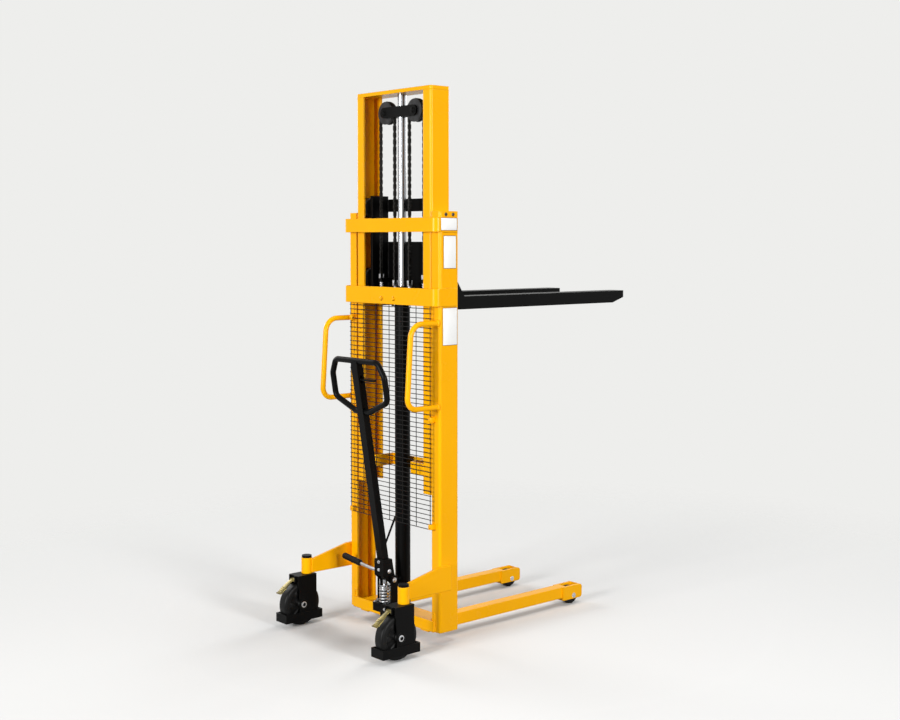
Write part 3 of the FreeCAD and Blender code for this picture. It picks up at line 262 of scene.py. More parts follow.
wheelLook = {"colour": linear(11, 11, 11), "scuff": linear(56, 55, 53), "bevel": 0.002, "poreScale": 500.0,
             "pore": 0.2, "scuffScale": 60.0, "scuffs": 0.2, "edgeShare": 0.2, "rough": 0.42, "specular": 0.14}
gripLook = {"colour": linear(9, 9, 9), "scuff": linear(44, 43, 42), "bevel": 0.0015, "poreScale": 900.0,
            "pore": 0.35, "scuffScale": 80.0, "scuffs": 0.3, "edgeShare": 0.15, "rough": 0.6, "specular": 0.14}
padLook = {"colour": linear(214, 208, 188), "scuff": linear(150, 138, 110), "bevel": 0.001,
           "poreScale": 300.0, "pore": 0.1, "scuffScale": 50.0, "scuffs": 0.5, "edgeShare": 0.2, "rough": 0.45,
           "specular": 0.35}
labelLook = {"colour": linear(246, 246, 244), "scuff": linear(222, 222, 218), "bevel": 0.0003,
             "poreScale": 400.0, "pore": 0.05, "scuffScale": 40.0, "scuffs": 0.3, "edgeShare": 0.1, "rough": 0.35,
             "specular": 0.4}

finishes = {
    "yellow_paint": coated("yellowPowderCoat", yellowLook),
    "black_paint": coated("blackPowderCoat", blackLook),
    "black_wire": coated("wireCoat", {**blackLook, "bevel": 0.0004, "colour": linear(30, 29, 28)}),
    "chrome": plated("hardChrome", chromeLook),
    "zinc": plated("brightZinc", zincLook),
    "yellow_zinc": plated("yellowZinc", goldZincLook),
    "chain_steel": plated("oiledChain", oiledLook),
    "roller_steel": plated("turnedSteel", turnedLook),
    "bush_brass": plated("bushBrass", brassLook),
    "pad_plastic": moulded("naturalNylon", padLook),
    "wheel_nylon": moulded("blackNylon", wheelLook),
    "grip_rubber": moulded("gripRubber", gripLook),
    "label": moulded("blankLabel", labelLook),
}
for entry in frame["record"]["subparts"]:
    mesh = nodes[entry["node"]].data
    mesh.materials.clear()
    mesh.materials.append(finishes[entry["material_slot"]])
print("finishes:", len(finishes))

# Shapes: lengths below are millimetres in the mast's own frame, where depth 0 is the mast's rear face.
# Each helper gives points and faces, and makePiece joins several of them into one mesh in metres.
unit = 0.001
origin = np.array((0.0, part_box("outer_mast_right")[0].y, 0.0))
turnAxes = {"x": ((0, 1, 0), (0, 0, 1), (1, 0, 0)), "y": ((0, 0, 1), (1, 0, 0), (0, 1, 0)),
            "z": ((1, 0, 0), (0, 1, 0), (0, 0, 1))}


def span(node):
    return (np.array([list(corner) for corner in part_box(node)]) - origin) / unit


def inMetres(points):
    return np.asarray(points, float) * unit + origin


def surface(grid, closed=True, caps=True):
    # neighbours in a grid of points make quads: each row is a ring or an open line, and end rings are capped
    rows, columns = grid.shape[:2]
    index = np.arange(rows * columns).reshape(rows, columns)
    ends = [index[0, ::-1].tolist(), index[-1].tolist()] if caps else []
    if closed:
        index = np.column_stack((index, index[:, 0]))
    quads = np.stack((index[:-1, :-1], index[:-1, 1:], index[1:, 1:], index[1:, :-1]), axis=-1)
    return grid.reshape(-1, 3), quads.reshape(-1, 4).tolist() + ends


def repeated(grids):
    # many equal capped grids as one shape: the first one's faces, shifted by its point count for each copy
    count, rows, columns = grids.shape[:3]
    faces = surface(grids[0])[1]
    shifts = range(0, count * rows * columns, rows * columns)
    return grids.reshape(-1, 3), [[corner + shift for corner in face] for shift in shifts for face in faces]


def circle(sides, radius=1.0, phase=0.0):
    # equal angles round a circle: radius times their cosine and sine
    angle = np.linspace(0, 2 * pi, sides, endpoint=False) + phase
    return radius * np.stack((np.cos(angle), np.sin(angle)), axis=-1)


def arc(middle, radius, start, end, steps=5):
    # part of a circle between two angles in degrees
    angle = np.radians(np.linspace(start, end, steps))
    return np.asarray(middle) + radius * np.stack((np.cos(angle), np.sin(angle)), axis=-1)


def carried(path, outline, reference):
    # an outline carried along a path: path point + across * side direction + up * the way nearest reference
    heading = np.gradient(path, axis=0)
    heading /= np.linalg.norm(heading, axis=1, keepdims=True)
    across = np.cross(reference, heading)
    across /= np.linalg.norm(across, axis=1, keepdims=True)
    up = np.cross(heading, across)
    return path[:, None] + outline[..., :1] * across[:, None] + outline[..., 1:] * up[:, None]


def lathed(profile, centre, axis, sides=28, phase=0.0):
    # a profile of (radius, place on the axis) turned round: centre + along * axis + radius * (cosine, sine)
    first, second, along = np.array(turnAxes[axis], float)
    ring = circle(sides, phase=phase) @ np.stack((first, second))
    profile = np.asarray(profile, float)
    return np.asarray(centre) + profile[:, 1, None, None] * along + profile[:, 0, None, None] * ring


def block(low, high, edge, steps=3, pole=80):
    # a box with round edges: the points of a small ball, cut off at the pole's angle, each eighth pushed out
    # to its own corner of the box
    low, high = np.minimum(low, high), np.maximum(low, high)
    tilt = np.radians(np.concatenate((np.linspace(-pole, 0, steps), np.linspace(0, pole, steps))))[:, None]
    turn = np.radians(np.concatenate([quarter * 90 + np.linspace(0, 90, steps) for quarter in range(4)]))
    flat = np.ones_like(turn)
    ball = np.stack((np.cos(tilt) * np.cos(turn), np.cos(tilt) * np.sin(turn), np.sin(tilt) * flat), axis=-1)
    east = np.repeat((1, -1, -1, 1), steps) * np.ones_like(tilt)
    north = np.repeat((1, 1, -1, -1), steps) * np.ones_like(tilt)
    upper = np.repeat((-1, 1), steps)[:, None] * flat
    push = np.stack((east, north, upper), axis=-1)
    return surface((low + high) / 2 + push * ((high - low) / 2 - edge) + ball * edge)


def bars(starts, ends, radius, sides=8, upright=0.9):
    # straight round bars, all at once: a ring square to each bar at both of its ends, measured from the
    # vertical unless the bar is nearly upright
    heading = ends - starts
    heading = heading / np.linalg.norm(heading, axis=1, keepdims=True)
    helper = np.where(np.abs(heading[:, 2:]) < upright, (0.0, 0.0, 1.0), (1.0, 0.0, 0.0))
    across = np.cross(helper, heading)
    across /= np.linalg.norm(across, axis=1, keepdims=True)
    up = np.cross(heading, across)
    ring = circle(sides, radius)
    spokes = ring[:, :1] * across[:, None] + ring[:, 1:] * up[:, None]
    return repeated(np.stack((starts[:, None] + spokes, ends[:, None] + spokes), axis=1))


def onBothSides(shapes):
    # each shape and its mirror image in the middle plane, whose faces are turned back to point outwards
    paired = []
    for points, faces in shapes:
        paired += [(points, faces), (points * (-1.0, 1.0, 1.0), [face[::-1] for face in faces])]
    return paired


def makePiece(name, shapes, slot, body=None, hides=(), crease=38):
    starts = np.cumsum([0] + [len(points) for points, faces in shapes]).tolist()
    points = inMetres(np.concatenate([points for points, faces in shapes]))
    faces = [[corner + start for corner in face] for (spots, group), start in zip(shapes, starts)
             for face in group]
    mesh = bpy.data.meshes.new(name)
    mesh.from_pydata(points.tolist(), [], faces)
    mesh.shade_smooth()
    mesh.set_sharp_from_angle(angle=radians(crease))
    mesh.materials.append(finishes[slot])
    piece = bpy.data.objects.new(name, mesh)
    bpy.context.scene.collection.objects.link(piece)
    if body:
        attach(piece, body)
    if hides:
        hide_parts(*hides)
    return piece


boltHead = {"low": 0.25, "shoulder": 0.85, "tip": 0.86, "turn": 0.3, "washer": 1.35, "washerTall": 0.2,
            "washerTip": 1.28, "washerTop": 0.26, "washerSides": 20}


def hexHead(centre, axis, radius, tall, back=False):
    # a bolt head: a six-sided bar with its last corner broken, on a round washer; back turns it round
    size = boltHead
    heads = [(radius, size["low"] * tall), (radius, size["shoulder"] * tall), (size["tip"] * radius, tall)]
    rings = [(size["washer"] * radius, 0.0), (size["washer"] * radius, size["washerTall"] * tall),
             (size["washerTip"] * radius, size["washerTop"] * tall)]
    if back:
        heads = [(reach, -along) for reach, along in heads[::-1]]
        rings = [(reach, -along) for reach, along in rings[::-1]]
    return [surface(lathed(heads, centre, axis, 6, size["turn"])),
            surface(lathed(rings, centre, axis, size["washerSides"]))]


# Wire guard: level wires with free ends on a few uprights
guard = {"wire": 1.5, "rows": 47, "uprights": 7, "overhang": 5.0, "sides": 6}
low, high = span("mesh_guard")
netDepth = (low[1] + high[1]) / 2
levels = np.linspace(low[2] + guard["wire"], high[2] - guard["wire"], guard["rows"] + 1)
flat = np.ones_like(levels)
levelWires = bars(np.stack((low[0] * flat, netDepth * flat, levels), axis=-1),
                  np.stack((high[0] * flat, netDepth * flat, levels), axis=-1), guard["wire"], guard["sides"])
places = np.linspace(low[0] + guard["overhang"], high[0] - guard["overhang"], guard["uprights"])
flat = np.ones_like(places)
upWires = bars(np.stack((places, netDepth * flat, low[2] * flat), axis=-1),
               np.stack((places, netDepth * flat, high[2] * flat), axis=-1), guard["wire"], guard["sides"])
makePiece("wireGuard", [levelWires, upWires], "black_wire", "frame", ["mesh_guard"])
print("guard:", len(levels), "level wires")

# Pump spring: a round wire on a helix whose end coils are closed
coil = {"wire": 2.7, "radius": 18.5, "turns": 6.0, "closed": 0.8, "steps": 36, "sides": 10}
low, high = span("pump_spring")
axisX, axisY = span("pump_plunger").mean(axis=0)[:2]
bottom = low[2] + coil["wire"]
top = high[2] - coil["wire"]
turns = np.linspace(0, coil["turns"], int(coil["turns"] * coil["steps"]))
endRise = 2 * coil["wire"] * coil["closed"]
climb = np.interp(turns, (0, coil["closed"], coil["turns"] - coil["closed"], coil["turns"]),
                  (bottom, bottom + endRise, top - endRise, top))
helix = np.stack((axisX + coil["radius"] * np.cos(2 * pi * turns),
                  axisY + coil["radius"] * np.sin(2 * pi * turns), climb), axis=-1)
spring = makePiece("pumpSpring", [surface(carried(helix, circle(coil["sides"], coil["wire"]), (0, 0, 1)))],
                   "zinc", hides=["pump_spring"])
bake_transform(spring)
print("spring: blended from pump to plunger")

# Lift chains: leaf plates in alternate layers on pins, along the runs and over the sheaves
chain = {"pitch": 12.7, "half": 3.3, "plate": 1.6, "even": (-5.4, -1.8, 1.8, 5.4), "odd": (-3.6, 0.0, 3.6),
         "pin": 1.9, "pinSides": 6, "pinHalf": 6.9, "thick": 7.0, "endRoom": 3.4, "steps": 5, "wrapLinks": 10,
         "joinRise": 22.0}


def run(start, end):
    # a straight row of pins at about the chain's pitch
    count = max(2, round(np.linalg.norm(np.subtract(end, start)) / chain["pitch"]))
    return np.linspace(start, end, count + 1)


def leafChain(path):
    # between neighbouring pins lie plates: two half circles round the pins, joined, in layers along the pins
    heading = np.diff(path, axis=0)
    length = np.linalg.norm(heading, axis=1, keepdims=True)
    heading = heading / length
    across = np.cross((0, 1, 0), heading)
    middles = (path[1:] + path[:-1]) / 2
    reach = length.mean() / 2
    plate = np.concatenate((arc((reach, 0), chain["half"], -90, 90, chain["steps"]),
                            arc((-reach, 0), chain["half"], 90, 270, chain["steps"])))
    pinReach = np.array((0, chain["pinHalf"], 0))
    shapes = [bars(path - pinReach, path + pinReach, chain["pin"], chain["pinSides"])]
    for first, layers in ((0, chain["even"]), (1, chain["odd"])):
        ahead = heading[first::2, None]
        aside = across[first::2, None]
        for layer in layers:
            rim = middles[first::2, None] + plate[:, :1] * ahead + plate[:, 1:] * aside + (0, layer, 0)
            wall = np.array((0, chain["plate"] / 2, 0))
            shapes.append(repeated(np.stack((rim - wall, rim + wall), axis=1)))
    return onBothSides(shapes)


backLow, backHigh = span("chain_back_lower"), span("chain_back_upper")
frontLow = span("chain_front_lower")
chainDepth = backLow[:, 1].mean()
innerSide = backLow[1, 0] - chain["thick"] / 2
outerSide = frontLow[1, 0] - chain["thick"] / 2
sheaveHeight = backHigh[1, 2]
sheaveSide = (innerSide + outerSide) / 2
over = arc((sheaveSide, sheaveHeight), (outerSide - innerSide) / 2, 180, 0, chain["wrapLinks"] + 1)
overPath = np.insert(over, 1, chainDepth, axis=1)
arms = {"anchorTall": 12.0, "anchorRise": 40.0, "lugTall": 16.0}
backFoot = (innerSide, chainDepth, backLow[0, 2] + arms["anchorRise"] + chain["endRoom"])
backJoin = (innerSide, chainDepth, backLow[1, 2] + chain["joinRise"])
backTop = (innerSide, chainDepth, sheaveHeight)
frontTop = (outerSide, chainDepth, sheaveHeight)
frontJoin = (outerSide, chainDepth, frontLow[1, 2])
frontFoot = (outerSide, chainDepth, frontLow[0, 2] + chain["endRoom"])
chainRuns = {
    "chainBackLower": (run(backFoot, backJoin), "chain_back_lower", "frame", "inner_mast", backFoot,
                       backJoin),
    "chainBackUpper": (run(backJoin, backTop), "chain_back_upper", "inner_mast", "ram", backJoin, backTop),
    "chainFrontUpper": (np.concatenate((overPath, run(frontTop, frontJoin)[1:])), "chain_front_upper", "ram",
                        "lift_chains", frontTop, frontJoin),
    "chainFrontLower": (run(frontJoin, frontFoot), "chain_front_lower", "lift_chains", "carriage", frontJoin,
                        frontFoot),
}
for name, (path, node, first, second, start, end) in chainRuns.items():
    piece = makePiece(name, leafChain(path), "chain_steel", hides=[node])
    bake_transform(piece)
print("chains:", len(chainRuns), "lengths")

# Chain ends: a clevis round the last pin, and a threaded stud with nuts on its arm
chainEnd = {"cheekX": 5.0, "cheekIn": 7.3, "cheekOut": 9.6, "tall": 16.0, "sunk": 1.0, "pin": 2.4,
            "pinSides": 10, "edge": 0.8, "stud": 5.0, "long": 34.0, "nut": 6.8, "nutTall": 7.0, "nutGap": 9.0,
            "thread": 1.5, "threadDeep": 0.35, "threadSteps": 4, "studSides": 14, "neck": 5.0,
            "nutUnder": 13.0}


def threadedStud(side, top, long):
    # a bar whose radius is a cosine wave of the thread's pitch along its length
    size = chainEnd
    drop = np.arange(0, long, size["thread"] / size["threadSteps"])[::-1]
    radius = size["stud"] - size["threadDeep"] + size["threadDeep"] * np.cos(2 * pi * drop / size["thread"])
    return surface(lathed(np.stack((radius, -drop), axis=-1), (side, chainDepth, top), "z",
                          size["studSides"]))


def chainStop(side, armTop, armLow, rise):
    # two cheeks on a neck with a pin between them; with a rise, a stud and its nuts carry them above the arm
    size = chainEnd
    foot = armTop + rise
    reach = np.array((size["cheekX"], size["cheekOut"], 0))
    spot = np.array((side, chainDepth, foot))
    shapes = []
    for way in (-1, 1):
        shapes.append(block((side - size["cheekX"], chainDepth + way * size["cheekIn"], foot - size["sunk"]),
                            (side + size["cheekX"], chainDepth + way * size["cheekOut"], foot + size["tall"]),
                            size["edge"]))
    pinSpot = spot[None] + (0, 0, chain["endRoom"])
    pinReach = np.array(((0, size["cheekOut"] + size["pin"] / 2, 0),))
    shapes.append(bars(pinSpot - pinReach, pinSpot + pinReach, size["pin"], size["pinSides"]))
    if rise:
        shapes.append(block(spot - reach - (0, 0, size["neck"] + size["sunk"]), spot + reach, size["edge"]))
        shapes.append(threadedStud(side, foot - size["neck"], rise))
        for height in (armTop, foot - size["nutUnder"]):
            shapes += hexHead((side, chainDepth, height), "z", size["nut"], size["nutTall"])
    shapes.append(threadedStud(side, armLow, size["long"]))
    for nut in (0, size["nutGap"]):
        shapes += hexHead((side, chainDepth, armLow - nut), "z", size["nut"], size["nutTall"], back=True)
    return onBothSides(shapes)


anchorTop = backLow[0, 2]
lugTop = frontLow[0, 2]
anchorEnds = chainStop(innerSide, anchorTop, anchorTop - arms["anchorTall"], arms["anchorRise"])
makePiece("chainAnchorEnds", anchorEnds, "zinc", "frame")
makePiece("chainLugEnds", chainStop(outerSide, lugTop, lugTop - arms["lugTall"], 0.0), "zinc", "carriage")

# Casters: wheels with a dished web and spokes, axle nuts, boss rings and guard bolts
wheel = {"bore": 7.3, "hub": 19.0, "webFace": 13.0, "rim": 55.0, "face": 22.0, "shoulder": 9.0, "step": 1.5,
         "spokes": 6, "spokeRise": 3.5, "sides": 72, "bendSteps": 7,
         "webRows": (slice(5, 7), slice(-8, -6))}


def wheelShape(node):
    # a half profile from bore to tread and its mirror image, turned round; the web swells into spokes
    low, high = span(node)
    size = wheel
    half = (high[0] - low[0]) / 2
    radius = (high[2] - low[2]) / 2
    web, step, face = size["webFace"], size["step"], size["face"]
    bend = arc((radius - size["shoulder"], size["shoulder"] - face), size["shoulder"], -90, 0,
               size["bendSteps"])
    profile = np.concatenate((
        [(size["bore"], step - half), (size["bore"] + step, -half), (size["hub"] - step, -half),
         (size["hub"], step - half), (size["hub"] + step, -web - step), (size["hub"] + 3 * step, -web),
         (size["rim"] - step, -web), (size["rim"] + step, -web - step), (size["rim"] + 2 * step, step - face),
         (size["rim"] + 3 * step, -face)], bend))
    grid = lathed(np.concatenate((profile, profile[::-1] * (1, -1), profile[:1])), (low + high) / 2, "x",
                  size["sides"])
    angle = np.linspace(0, 2 * pi, size["sides"], endpoint=False)
    spoke = size["spokeRise"] * np.clip(2 * np.cos(size["spokes"] * angle), 0, 1)
    near, far = size["webRows"]
    grid[near, :, 0] -= spoke
    grid[far, :, 0] += spoke
    return surface(grid, caps=False)


roller = {"bore": 8.3, "seal": 14.0, "dish": 25.0, "sunk": 1.6, "slope": 1.0, "edge": 4.0, "bendSteps": 6,
          "sides": 48}


def loadRollerShape(node):
    # a solid roller with a sunk ring on each end and rounded rims
    low, high = span(node)
    size = roller
    half = (high[0] - low[0]) / 2
    radius = (high[2] - low[2]) / 2
    sunk = size["sunk"] - half
    bend = arc((radius - size["edge"], size["edge"] - half), size["edge"], -90, 0, size["bendSteps"])
    ends = [(size["bore"], -half), (size["seal"], -half), (size["seal"] + size["slope"], sunk),
            (size["dish"], sunk), (size["dish"] + size["slope"], -half)]
    profile = np.concatenate((ends, bend))
    grid = lathed(np.concatenate((profile, profile[::-1] * (1, -1), profile[:1])), (low + high) / 2, "x",
                  size["sides"])
    return surface(grid, caps=False)


axleEnd = {"boss": 19.0, "bossSlope": 2.0, "bossTall": 1.4, "bossSides": 28, "ring": 11.5, "ringRoom": 1.5,
           "ringTall": 2.0, "ringSides": 24, "nut": 8.0, "nutEdge": 0.6, "nutTip": 0.85, "yokeHalf": 30.0,
           "endHalf": 33.9}


def axleEnds(centre):
    # on both sides of the yoke: a pressed ring, a washer and a low nut, each a profile turned round the axle
    size = axleEnd
    bossEnd = size["yokeHalf"] + size["bossTall"]
    ringEnd = size["yokeHalf"] + size["ringTall"]
    pressed = [(size["boss"], size["yokeHalf"]), (size["boss"] - size["bossSlope"], bossEnd),
               (size["ring"] + size["ringRoom"], bossEnd)]
    washer = [(size["ring"], size["yokeHalf"]), (size["ring"], ringEnd)]
    nut = [(size["nut"], ringEnd), (size["nut"], size["endHalf"] - size["nutEdge"]),
           (size["nutTip"] * size["nut"], size["endHalf"])]
    rings, nuts = [], []
    for way in (-1, 1):
        for group, profile, sides in ((rings, pressed, size["bossSides"]), (nuts, washer, size["ringSides"]),
                                      (nuts, nut, 6)):
            ordered = [(reach, way * along) for reach, along in profile[::way]]
            group.append(surface(lathed(ordered, centre, "x", sides)))
    return rings, nuts


brake = {"wide": 15.0, "neck": 9.0, "widenFrom": 0.25, "widenOver": 0.35, "thick": 2.2, "bow": 2.5,
         "curl": 5.0, "curlOver": 0.2, "tipIn": 1.5, "boss": 8.0, "bossEdge": 1.0, "bossSides": 24,
         "steps": 24, "cornerSteps": 4, "ribs": 5, "rib": 1.3, "ribSides": 8, "ribFrom": 0.62,
         "ribTo": 0.95, "ribIn": 4.0, "ribBack": 0.6, "ribUp": 0.8}


def brakePedal(node):
    # a plate whose half width grows from neck to tread, carried from its pin down to a curled tip, with ribs
    low, high = span(node)
    size = brake
    middle = (low[0] + high[0]) / 2
    pinDepth = high[1] - size["boss"]
    pinHeight = high[2] - size["boss"]
    share = np.linspace(0, 1, size["steps"])
    depth = pinDepth + (low[1] + size["tipIn"] - pinDepth) * share
    tipHeight = low[2] + size["thick"]
    height = (high[2] - size["thick"]) + (tipHeight - high[2] + size["thick"]) * share
    curled = np.clip(1 - (1 - share) / size["curlOver"], 0, 1)
    height += size["bow"] * np.sin(pi * share) + size["curl"] * curled ** 2
    path = np.stack((middle + 0 * share, depth, height), axis=-1)
    widened = np.clip((share - size["widenFrom"]) / size["widenOver"], 0, 1)
    half = size["neck"] + (size["wide"] - size["neck"]) * widened
    corner = np.concatenate([arc((0, 0), 1.0, start, start + 90, size["cornerSteps"])
                             for start in (0, 90, 180, 270)])
    push = np.repeat(np.array(((1, 1), (-1, 1), (-1, -1), (1, -1))), size["cornerSteps"], axis=0)
    rim = size["thick"] * corner + push * np.stack((half - size["thick"], 0 * half), axis=-1)[:, None]
    shapes = [surface(carried(path, rim, (0, -1, 1)))]
    bossHalf, edge = high[0] - middle, size["bossEdge"]
    boss = [(size["boss"] - edge, -bossHalf), (size["boss"], edge - bossHalf),
            (size["boss"], bossHalf - edge), (size["boss"] - edge, bossHalf)]
    shapes.append(surface(lathed(boss, (middle, pinDepth, pinHeight), "x", size["bossSides"])))
    picks = np.linspace(size["ribFrom"], size["ribTo"], size["ribs"]) * (size["steps"] - 1)
    spots = np.stack([np.interp(picks, np.arange(size["steps"]), line) for line in path.T], axis=-1)
    spots += (0, -size["thick"] * size["ribBack"], size["thick"] * size["ribUp"])
    reach = np.array((size["wide"] - size["ribIn"], 0, 0))
    shapes.append(bars(spots - reach, spots + reach, size["rib"], size["ribSides"]))
    return shapes


guardBolt = {"radius": 5.0, "half": 3.8, "sides": 12, "side": 30.1, "along": 52.0, "down": 46.0}
legHead = {"side": 30.0, "radius": 7.5, "tall": 2.4}
for side in ("left", "right"):
    middle = span(side + "_wheel").mean(axis=0)
    makePiece(side + "CasterWheel", [wheelShape(side + "_wheel")], "wheel_nylon", side + "_wheel",
              [side + "_wheel"])
    makePiece(side + "LegRoller", [loadRollerShape(side + "_load_roller")], "wheel_nylon",
              side + "_load_roller", [side + "_load_roller"])
    makePiece(side + "BrakePedal", brakePedal(side + "_brake"), "yellow_zinc", side + "_brake",
              [side + "_brake"])
    rings, nuts = axleEnds(middle)
    makePiece(side + "YokeRings", rings, "black_paint", side + "_caster")
    guardBolts = []
    stud = [(guardBolt["radius"], -guardBolt["half"]), (guardBolt["radius"], guardBolt["half"])]
    for along in (-guardBolt["along"], guardBolt["along"]):
        for way in (-1, 1):
            spot = middle + (way * guardBolt["side"], along, -guardBolt["down"])
            guardBolts.append(surface(lathed(stud, spot, "x", guardBolt["sides"])))
    makePiece(side + "AxleNuts", nuts + guardBolts, "zinc", side + "_caster")
    axle = span(side + "_load_roller").mean(axis=0)
    offset = np.array((legHead["side"], 0, 0))
    heads = hexHead(axle + offset, "x", legHead["radius"], legHead["tall"])
    heads += hexHead(axle - offset, "x", legHead["radius"], legHead["tall"], back=True)
    makePiece(side + "LegAxleHeads", heads, "zinc", "frame")
print("casters and leg rollers dressed")

# Fasteners: guard clips with a screw, the anchor plate's painted bolts, and dark screws of the guide pads
clip = {"wide": 16.0, "tall": 20.0, "inset": 2.0, "edge": 2.0, "screw": 4.2, "screwTall": 2.6, "lap": 1.4,
        "topDrop": 80.0}
low, high = span("mesh_guard")
outer = high[0] + clip["inset"]
inner = outer - clip["wide"]
clipDepth = low[1] - clip["lap"]
shapes = []
for height in (low[2], (low[2] + high[2]) / 2 - clip["tall"], high[2] - clip["topDrop"]):
    shapes.append(block((inner, clipDepth, height), (outer, 0.0, height + clip["tall"]), clip["edge"]))
    shapes += hexHead(((inner + outer) / 2, clipDepth, height + clip["tall"] / 2), "y", clip["screw"],
                      clip["screwTall"], back=True)
makePiece("guardClips", onBothSides(shapes), "yellow_paint", "frame", ["frame_fasteners"])
strapBolt = {"side": 36.0, "rise": 21.0, "radius": 6.5, "tall": 5.5}
strapLow = span("lower_crossbar")[0]
shapes = hexHead((strapBolt["side"], strapLow[1], strapLow[2] + strapBolt["rise"]), "y", strapBolt["radius"],
                 strapBolt["tall"], back=True)
makePiece("strapBolts", onBothSides(shapes), "yellow_paint", "frame")
mastLow, mastHigh = span("outer_mast_right")
padScrew = {"depths": (30.0, 64.0), "drop": 12.0, "radius": 5.0, "tall": 4.0}
shapes = []
for depth in padScrew["depths"]:
    shapes += hexHead((mastHigh[0], depth, mastHigh[2] - padScrew["drop"]), "x", padScrew["radius"],
                      padScrew["tall"])
makePiece("padScrews", onBothSides(shapes), "roller_steel", "frame")

# Welds: beads with ripples along the joints of the frame, the inner mast and the carriage
weld = {"ripple": 2.8, "swell": 0.14, "step": 1.4, "sides": 7, "frame": 3.6, "small": 2.8, "tip": 0.4,
        "tipLong": 5.0, "strapFrom": 12.0, "armLow": 196.0, "armFrom": 6.0, "barDepth": 1.0, "plateIn": 12.0,
        "heel": 1267.0, "forkIn": 9.0, "endIn": 2.0}


def bead(start, end, radius, reference):
    # a bar from start to end whose radius swells as a sine of the distance run, and tapers at both ends
    start, end = np.asarray(start, float), np.asarray(end, float)
    length = np.linalg.norm(end - start)
    share = np.linspace(0, 1, int(length / weld["step"]) + 3)
    taper = np.clip(weld["tip"] + np.minimum(share, 1 - share) * length / weld["tipLong"], 0, 1)
    size = radius * taper * (1 + weld["swell"] * np.sin(2 * pi * share * length / weld["ripple"]))
    path = start + share[:, None] * (end - start)
    return surface(carried(path, circle(weld["sides"])[None] * size[:, None, None], reference))


shapes = []
web = mastHigh[0]
for node in ("upper_crossbar", "lower_crossbar"):
    low, high = span(node)
    front = high[1]
    shapes.append(bead((web, front, low[2]), (web, front, high[2]), weld["frame"], (0, 1, 0)))
    for height in (low[2], high[2]):
        shapes.append(bead((web, weld["strapFrom"], height), (web, front, height), weld["frame"], (0, 0, 1)))
low, high = span("right_caster_arm")
armLow, armTop, armFront = weld["armLow"], high[2], high[1]
shapes.append(bead((web, armFront, armLow), (web, armFront, armTop), weld["frame"], (0, 1, 0)))
for height in (armLow, armTop):
    shapes.append(bead((web, weld["armFrom"], height), (web, armFront, height), weld["frame"], (0, 0, 1)))
baseLow, baseHigh = span("base_beam")
baseEnd = baseHigh[0]
shapes.append(bead((baseEnd, 0.0, baseLow[2]), (baseEnd, 0.0, baseHigh[2]), weld["frame"], (0, 1, 0)))
shapes.append(bead((mastLow[0], 0.0, baseHigh[2]), (baseEnd, 0.0, baseHigh[2]), weld["frame"], (0, 0, 1)))
grabWeld = {"profile": ((0.0, -5.0), (2.2, -4.2), (4.2, -2.0), (5.0, 0.0)), "sides": 24}
low, high = span("right_grab_handle")
grabSide = (low[0] + high[0]) / 2
grabRadius = (high[0] - low[0]) / 2
ring = [(grabRadius + out, along) for out, along in grabWeld["profile"]]
for height in (low[2] + grabRadius, high[2] - grabRadius):
    shapes.append(surface(lathed(ring, (grabSide, 0.0, height), "y", grabWeld["sides"])))
makePiece("frameWelds", onBothSides(shapes), "yellow_paint", "frame")

low, high = span("inner_lower_bar")
shapes = [bead((high[0], weld["barDepth"], low[2]), (high[0], weld["barDepth"], high[2]), weld["small"],
               (0, 1, 0))]
makePiece("innerMastWelds", onBothSides(shapes), "yellow_paint", "inner_mast")

plateLow, plateHigh = span("carriage_lower_plate")
barLow, barHigh = span("carriage_top_bar")
forkLow, forkHigh = span("right_fork")
plateRear = span("carriage_side_plates")[1, 1]
faceDepth, heel, endIn = plateHigh[1], weld["heel"], weld["endIn"]
side = barHigh[0] - weld["plateIn"]
shapes = []
for low, high in ((plateLow[2], plateHigh[2]), (barLow[2], barHigh[2])):
    shapes.append(bead((side, plateRear, low + endIn), (side, plateRear, high - endIn), weld["small"],
                       (0, 1, 0)))
shapes.append(bead((forkLow[0] + weld["forkIn"], faceDepth, heel),
                   (forkHigh[0] - weld["forkIn"], faceDepth, heel), weld["frame"], (0, 0, 1)))
for side in (forkLow[0], forkHigh[0]):
    shapes.append(bead((side, faceDepth, heel + endIn), (side, faceDepth, forkHigh[2] - endIn), weld["small"],
                       (0, 1, 0)))
makePiece("carriageWelds", onBothSides(shapes), "black_paint", "carriage")
print("bolts and welds done")

# Lift cylinder: foot bead, wiper nut and pipe unions
cylinderLow, cylinderHigh = span("cylinder_tube")
ramDepth = (cylinderLow[1] + cylinderHigh[1]) / 2
glandTop = span("cylinder_gland")[1, 2]
tubeRadius = (cylinderHigh[0] - cylinderLow[0]) / 2
fittings = {"wiperOut": 25.0, "wiperIn": 16.6, "wiperTall": 7.0, "wiperEdge": 5.0, "wiperTop": 22.0,
            "footBead": 5.0, "footMiddle": (3.4, 3.0), "sides": 36, "pipe": 4.0, "unionNut": 8.5,
            "unionTall": 10.0, "unionEdge": 1.5, "unionSunk": 1.0, "collar": 6.2}
wiper = [(fittings["wiperOut"], 0.0), (fittings["wiperOut"], fittings["wiperEdge"]),
         (fittings["wiperTop"], fittings["wiperTall"]), (fittings["wiperIn"], fittings["wiperTall"]),
         (fittings["wiperIn"], 0.0)]
footOut, footUp = fittings["footMiddle"]
foot = [(tubeRadius + fittings["footBead"], 0.0), (tubeRadius + footOut, footUp),
        (tubeRadius, fittings["footBead"])]
rings = [surface(lathed(profile, (0.0, ramDepth, height), "z", fittings["sides"]), caps=False)
         for profile, height in ((wiper, glandTop), (foot, cylinderLow[2]))]
makePiece("cylinderTrim", rings, "black_paint", "frame")
pipeLow, pipeHigh = span("oil_pipe")
unionSpot = (fittings["unionSunk"] - tubeRadius, ramDepth, pipeHigh[2] - fittings["pipe"])
